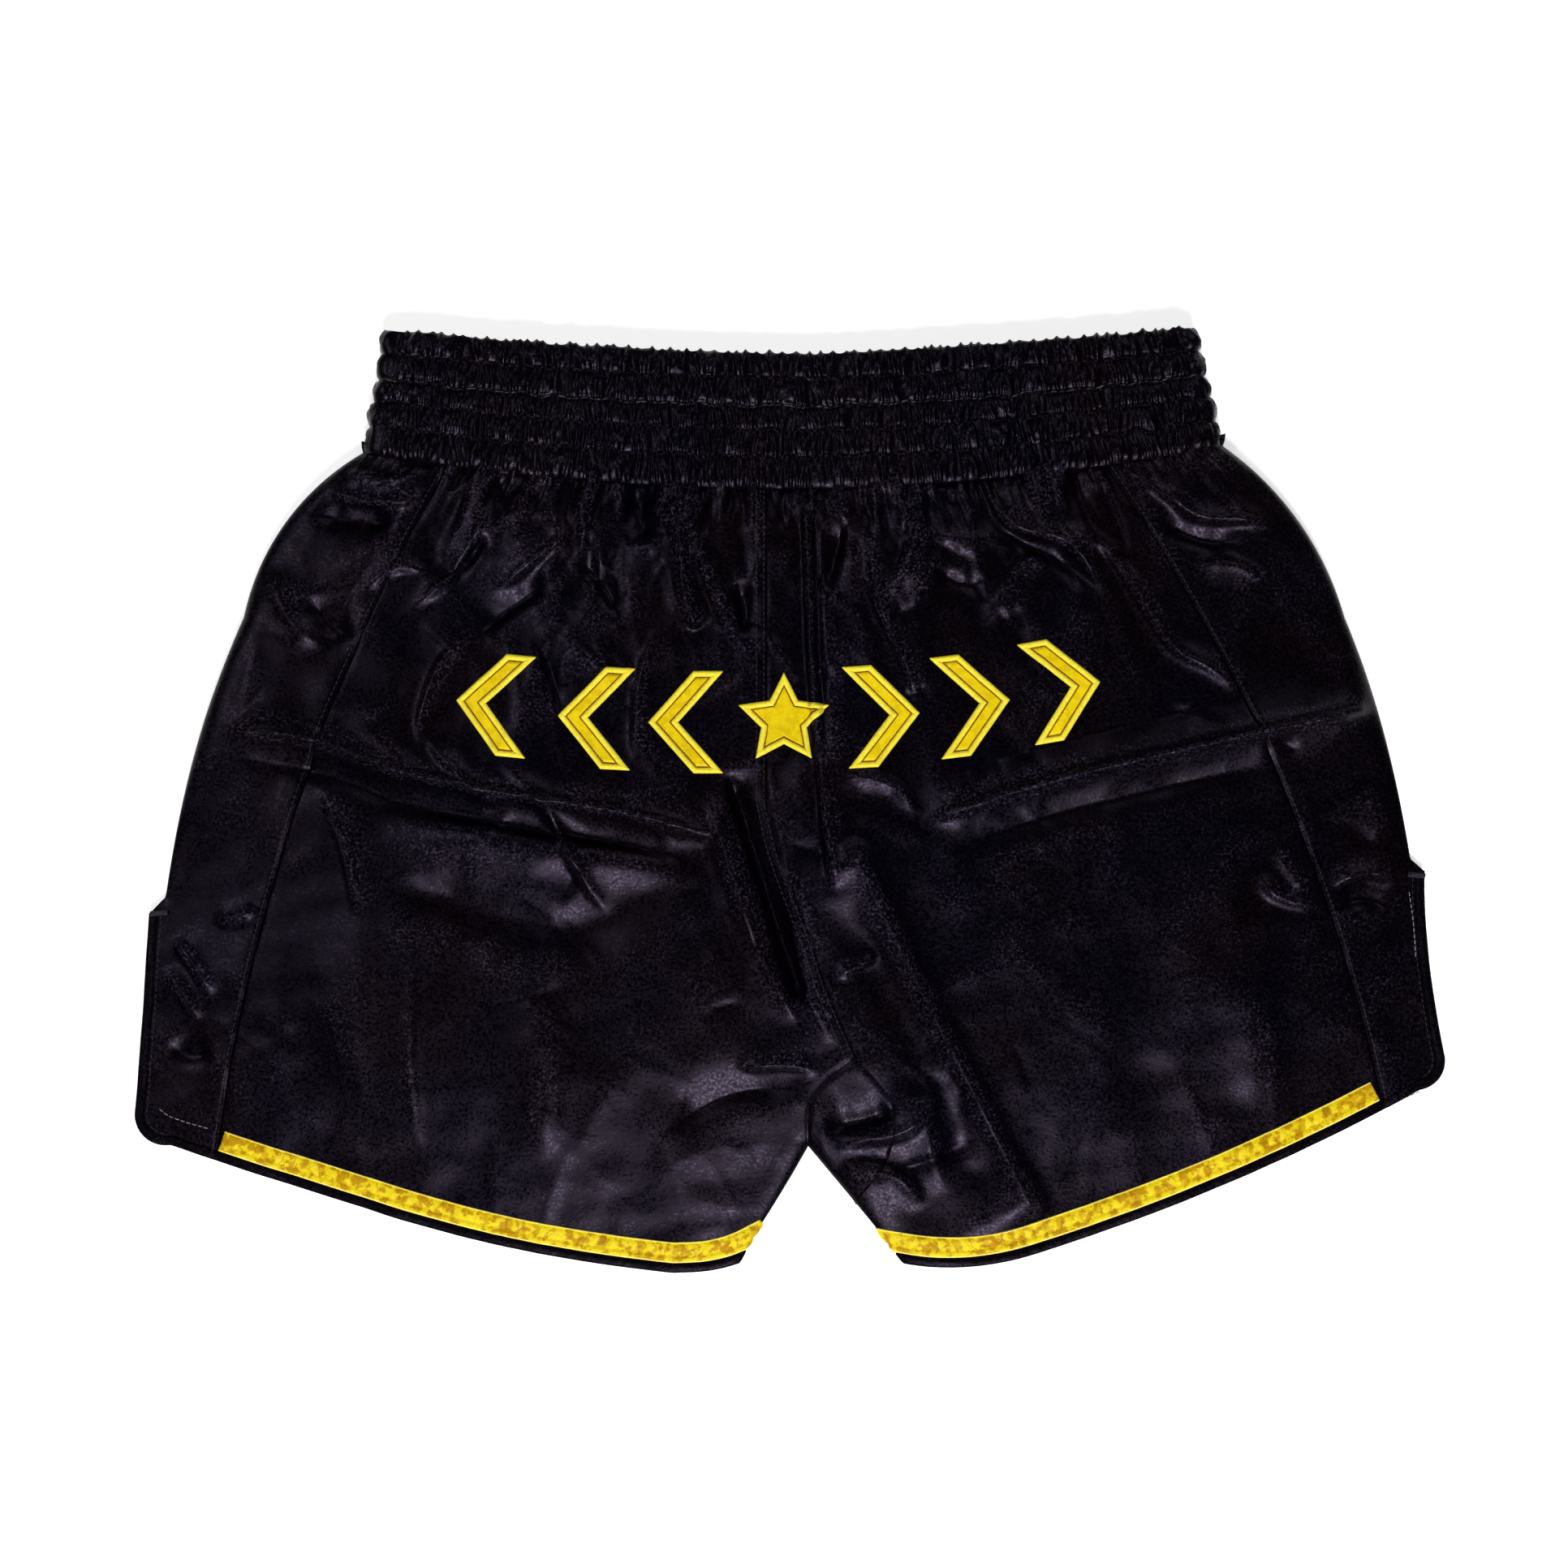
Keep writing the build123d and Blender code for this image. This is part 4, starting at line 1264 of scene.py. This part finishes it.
def cells(corners):
    """Four-cornered cells that fill the outline."""
    if len(corners) == 6:
        return [corners[[0, 1, 2, 3]], corners[[0, 3, 4, 5]]]
    middle = corners.mean(axis=0)
    return [np.array([middle, corners[i - 1], corners[i], corners[i + 1]]) for i in range(0, 10, 2)]


def four_sided(corners, rows, columns):
    """A grid of points between four corners."""
    u, v = np.linspace(0, 1, columns)[None, :, None], np.linspace(0, 1, rows)[:, None, None]
    a, b, c, d = corners
    return (1 - u) * (1 - v) * a + u * (1 - v) * b + u * v * c + (1 - u) * v * d


patch_grid, patch_loop = 15, 121  # points along a cell's side, and round a patch


def emblem_piece(name, corners, centre, turn):
    """A satin patch with a groove of dark thread round it, and its embroidered border."""
    turn = math.radians(turn)
    spin = np.array([[math.cos(turn), -math.sin(turn)], [math.sin(turn), math.cos(turn)]])
    points, faces, count = [], [], 0
    for corner_set in cells(inset(corners, border_width + 0.75)):
        grid = four_sided(corner_set, patch_grid, patch_grid)
        flat = grid.reshape(-1, 2) @ spin.T + centre
        points.append(surface(flat, lift=0.75)[0])
        faces.append(quads(patch_grid, patch_grid, count))
        count += patch_grid**2
    filled = sum(len(f) for f in faces)
    # Two sloping bands, each from a line inside the patch to one nearer the border
    for near_side, far_side, first, last in ((0.7, 0.45, 0.72, 0.42), (0.45, 0.0, 0.42, 0.4)):
        for away, lift in ((far_side, last), (near_side, first)):
            loop = inset(corners, border_width + away)
            loop = resample(np.vstack([loop, loop[:1]]), np.linspace(0, 1, patch_loop))
            points.append(surface(loop @ spin.T + centre, lift=lift)[0])
        faces.append(quads(2, patch_loop, count))
        count += 2 * patch_loop
    run_line = np.arange(sum(len(f) for f in faces)) >= filled
    make(
        f"patch_{name}_satin", np.concatenate(points), np.concatenate(faces), gold_patch,
        "patch_satin", [f"patch_{name}"], 0.4, [(amber_thread, run_line)], True)
    outer, inner = corners, inset(corners, border_width)
    across = np.linspace(0, 1, 8)
    profile = 0.1 + 1.05 * np.sin(np.pi * np.clip(across * 0.92 + 0.04, 0, 1)) ** 0.55
    loops = []
    for i in range(len(corners)):
        j = (i + 1) % len(corners)
        count = max(4, int(np.linalg.norm(corners[j] - corners[i]) / 0.45))
        t = np.arange(count)[:, None, None] / count
        start = outer[i] + across[:, None] * (inner[i] - outer[i])
        stop = outer[j] + across[:, None] * (inner[j] - outer[j])
        loops.append(start[None] * (1 - t) + stop[None] * t)
    grid = np.concatenate(loops)
    flat = grid.reshape(-1, 2) @ spin.T + centre
    ribs = 0.05 * np.where(np.arange(len(grid)) % 2, 1, -1)
    lift = (profile[None, :] + ribs[:, None] * (profile[None, :] > 0.5)).ravel()
    base, normal = surface(flat)
    border = base + normal * lift[:, None]
    rows, columns = grid.shape[:2]
    ring = quads(rows + 1, columns)
    ring %= rows * columns
    make(f"border_{name}_thread", border, ring, lemon_thread,
                                    "border_thread", [f"border_{name}"], 0.3)


emblem = [
    ("chevron_left_outer", chevron_corners, (-131, 43), -6),
    ("chevron_left_middle", chevron_corners, (-86, 37), -3),
    ("chevron_left_inner", chevron_corners, (-46, 35), 0),
    ("star", star_corners, (-2.5, 36), 0),
    ("chevron_right_inner", chevron_corners, (41, 38), 184),
    ("chevron_right_middle", chevron_corners, (81, 43), 187),
    ("chevron_right_outer", chevron_corners, (121, 50), 190),
]
for name, drawing, centre, turn in emblem:
    emblem_piece(name, drawing(), np.array(centre), turn)


# ---- Sewing thread ----

def threads(name, starts, ends, material, nodes=(), lift=0.1, thick=0.22):
    """Short raised stitches from each start to each end, as one piece."""
    t = np.linspace(0, 1, 5)
    plan = starts[:, None] * (1 - t[None, :, None]) + ends[:, None] * t[None, :, None]
    base, normal = surface(plan.reshape(-1, 2))
    base, normal = base.reshape(-1, 5, 3), normal.reshape(-1, 5, 3)
    rise = lift + thick * np.array([-1.2, 0.5, 0.9, 0.5, -1.2])
    middle = base + normal * rise[None, :, None]
    tangent = np.gradient(middle, axis=1)
    tangent /= np.linalg.norm(tangent, axis=2)[:, :, None]
    across = np.cross(tangent, normal)
    points = np.stack([middle + thick * (math.cos(a) * across + math.sin(a) * normal)
                       for a in TAU * (np.arange(6) + 0.5) / 6], axis=2)
    one = quads(5, 6, 0, True)
    faces = (one[None] + 30 * np.arange(len(starts))[:, None, None]).reshape(-1, 4)
    return make(name, points.reshape(-1, 3), faces, material, "bartack_thread", nodes)


stitch_pitch, stitch_length = 2.7, 2.0


def stitch_line(path, offset):
    """Starts and ends of stitches along a path in plan, moved sideways by the offset."""
    line = shifted(path, offset)
    total = lengths(line)[-1]
    starts = np.arange(0.5, total - stitch_length, stitch_pitch)
    return resample(line, starts / total), resample(line, (starts + stitch_length) / total)


def thread_lines(name, lines, material):
    """One piece for all the stitches along some lines: (path, offset) each."""
    starts, ends = zip(*(stitch_line(*line) for line in lines))
    threads(name, np.concatenate(starts), np.concatenate(ends), material)


thread_lines("centre_seam_stitching", [(centre_seam, 1.5), (centre_seam, 4.7)], black_thread)
pale_lines = {
    "left": [([(-281.5, -137), (-277, -140.5), (-268.5, -143.5), (-259, -146)], 0)],
    "right": [([(245, -138.5), (262, -134), (274, -131), (281.5, -128)], -1.5),
              ([(276.5, -40), (278.5, -54), (279.5, -72)], 0)],
}
bartacks = {"left": ((-281.5, -50), 5), "right": ((279.5, -33), -5)}
bartack_length, bartack_width = 8.0, 2.4


def bartack(side):
    """Dense stitches side by side across the top of a vent, with two along them."""
    centre, turn = bartacks[side]
    turn = math.radians(turn)
    along = np.array([math.cos(turn), math.sin(turn)])
    across = np.array([-along[1], along[0]])
    at = np.linspace(-0.5, 0.5, 17)[:, None] * (bartack_length - 0.6) * along + centre
    lean = 0.2 * along
    half = across * bartack_width / 2
    reach, apart = along * 3.6, across * 0.5
    starts = np.concatenate([at - half, [centre - reach + apart, centre - reach - apart]])
    ends = np.concatenate([at + half + lean, [centre + reach + apart, centre + reach - apart]])
    name = f"vent_bartack_{side}"
    return threads(f"{name}_thread", starts, ends, black_thread, [name], lift=1.0, thick=0.26)


for side in legs:
    _, _, vent, seam, corner, turned = legs[side]
    thread_lines(f"side_seam_stitching_{side}", [(seam, 1.6 * turned)], black_thread)
    thread_lines(f"vent_stitching_{side}", [(join(vent[1:], corner), 4.9 * turned)], black_thread)
    thread_lines(f"pale_stitching_{side}", pale_lines[side], grey_thread)
    bartack(side)


# ---- Names of the trims on each half ----


trims = {side: [f"hem_ribbon_{side}", f"leg_binding_{side}", f"side_seam_stitching_{side}",
                f"vent_stitching_{side}", f"pale_stitching_{side}", f"vent_bartack_{side}"]
         + [f"{kind}_chevron_{side}_{place}" for kind in ("patch", "border")
            for place in ("inner", "middle", "outer")] for side in legs}
trims["left"] += ["patch_star", "border_star", "centre_seam_stitching"]


# ---- Camera: straight above, a little off the middle ----

camera_data = bpy.data.cameras.new("camera")
camera_data.lens, camera_data.sensor_width = 50, 36
camera = placed("camera", camera_data)
camera.location = (-0.0025, 0.0076, 0.976)
bpy.context.scene.camera = camera


# ---- Studio ----

def floor():
    """The pale ground of the studio; it glows a little, so that shadows on it stay faint."""
    mesh = bpy.data.meshes.new("floor")
    size = 4.0
    corners = [(-size, -size, 0), (size, -size, 0), (size, size, 0), (-size, size, 0)]
    mesh.from_pydata(corners, [], [(0, 1, 2, 3)])
    made, tree, base, place = shader("pale floor", 0.9, 0.1)
    shades = [(0.3, (0.93, 0.93, 0.93)), (0.7, (0.95, 0.95, 0.95))]
    tree.links.new(ramp(tree, noise(tree, place, 300, 2), shades), base.inputs["Base Color"])
    base.inputs["Emission Color"].default_value = (1, 1, 1, 1)
    base.inputs["Emission Strength"].default_value = 0.55
    mesh.materials.append(made)
    ground = placed("floor", mesh)
    ground.location.z = -0.0004  # just under the lowest cloth


def softbox(name, place, size, power):
    """A square lamp that looks at the origin."""
    light = bpy.data.lights.new(name, "AREA")
    light.shape = "RECTANGLE"
    light.size = light.size_y = size
    light.energy = power
    lamp = placed(name, light)
    lamp.location = place
    lamp.rotation_euler = (-lamp.location).to_track_quat("-Z", "Y").to_euler()


floor()
softbox("key", (0.15, -1.6, 1.75), 0.7, 68)
softbox("left", (-1.2, 0.4, 1.7), 0.7, 11)
softbox("top", (0.7, 1.6, 1.5), 0.9, 8)
world = bpy.data.worlds.new("studio")
world.use_nodes = True
world.node_tree.nodes["Background"].inputs["Color"].default_value = (1, 1, 1, 1)
world.node_tree.nodes["Background"].inputs["Strength"].default_value = 0.05
bpy.context.scene.world = world
bpy.context.scene.view_settings.view_transform = "Standard"
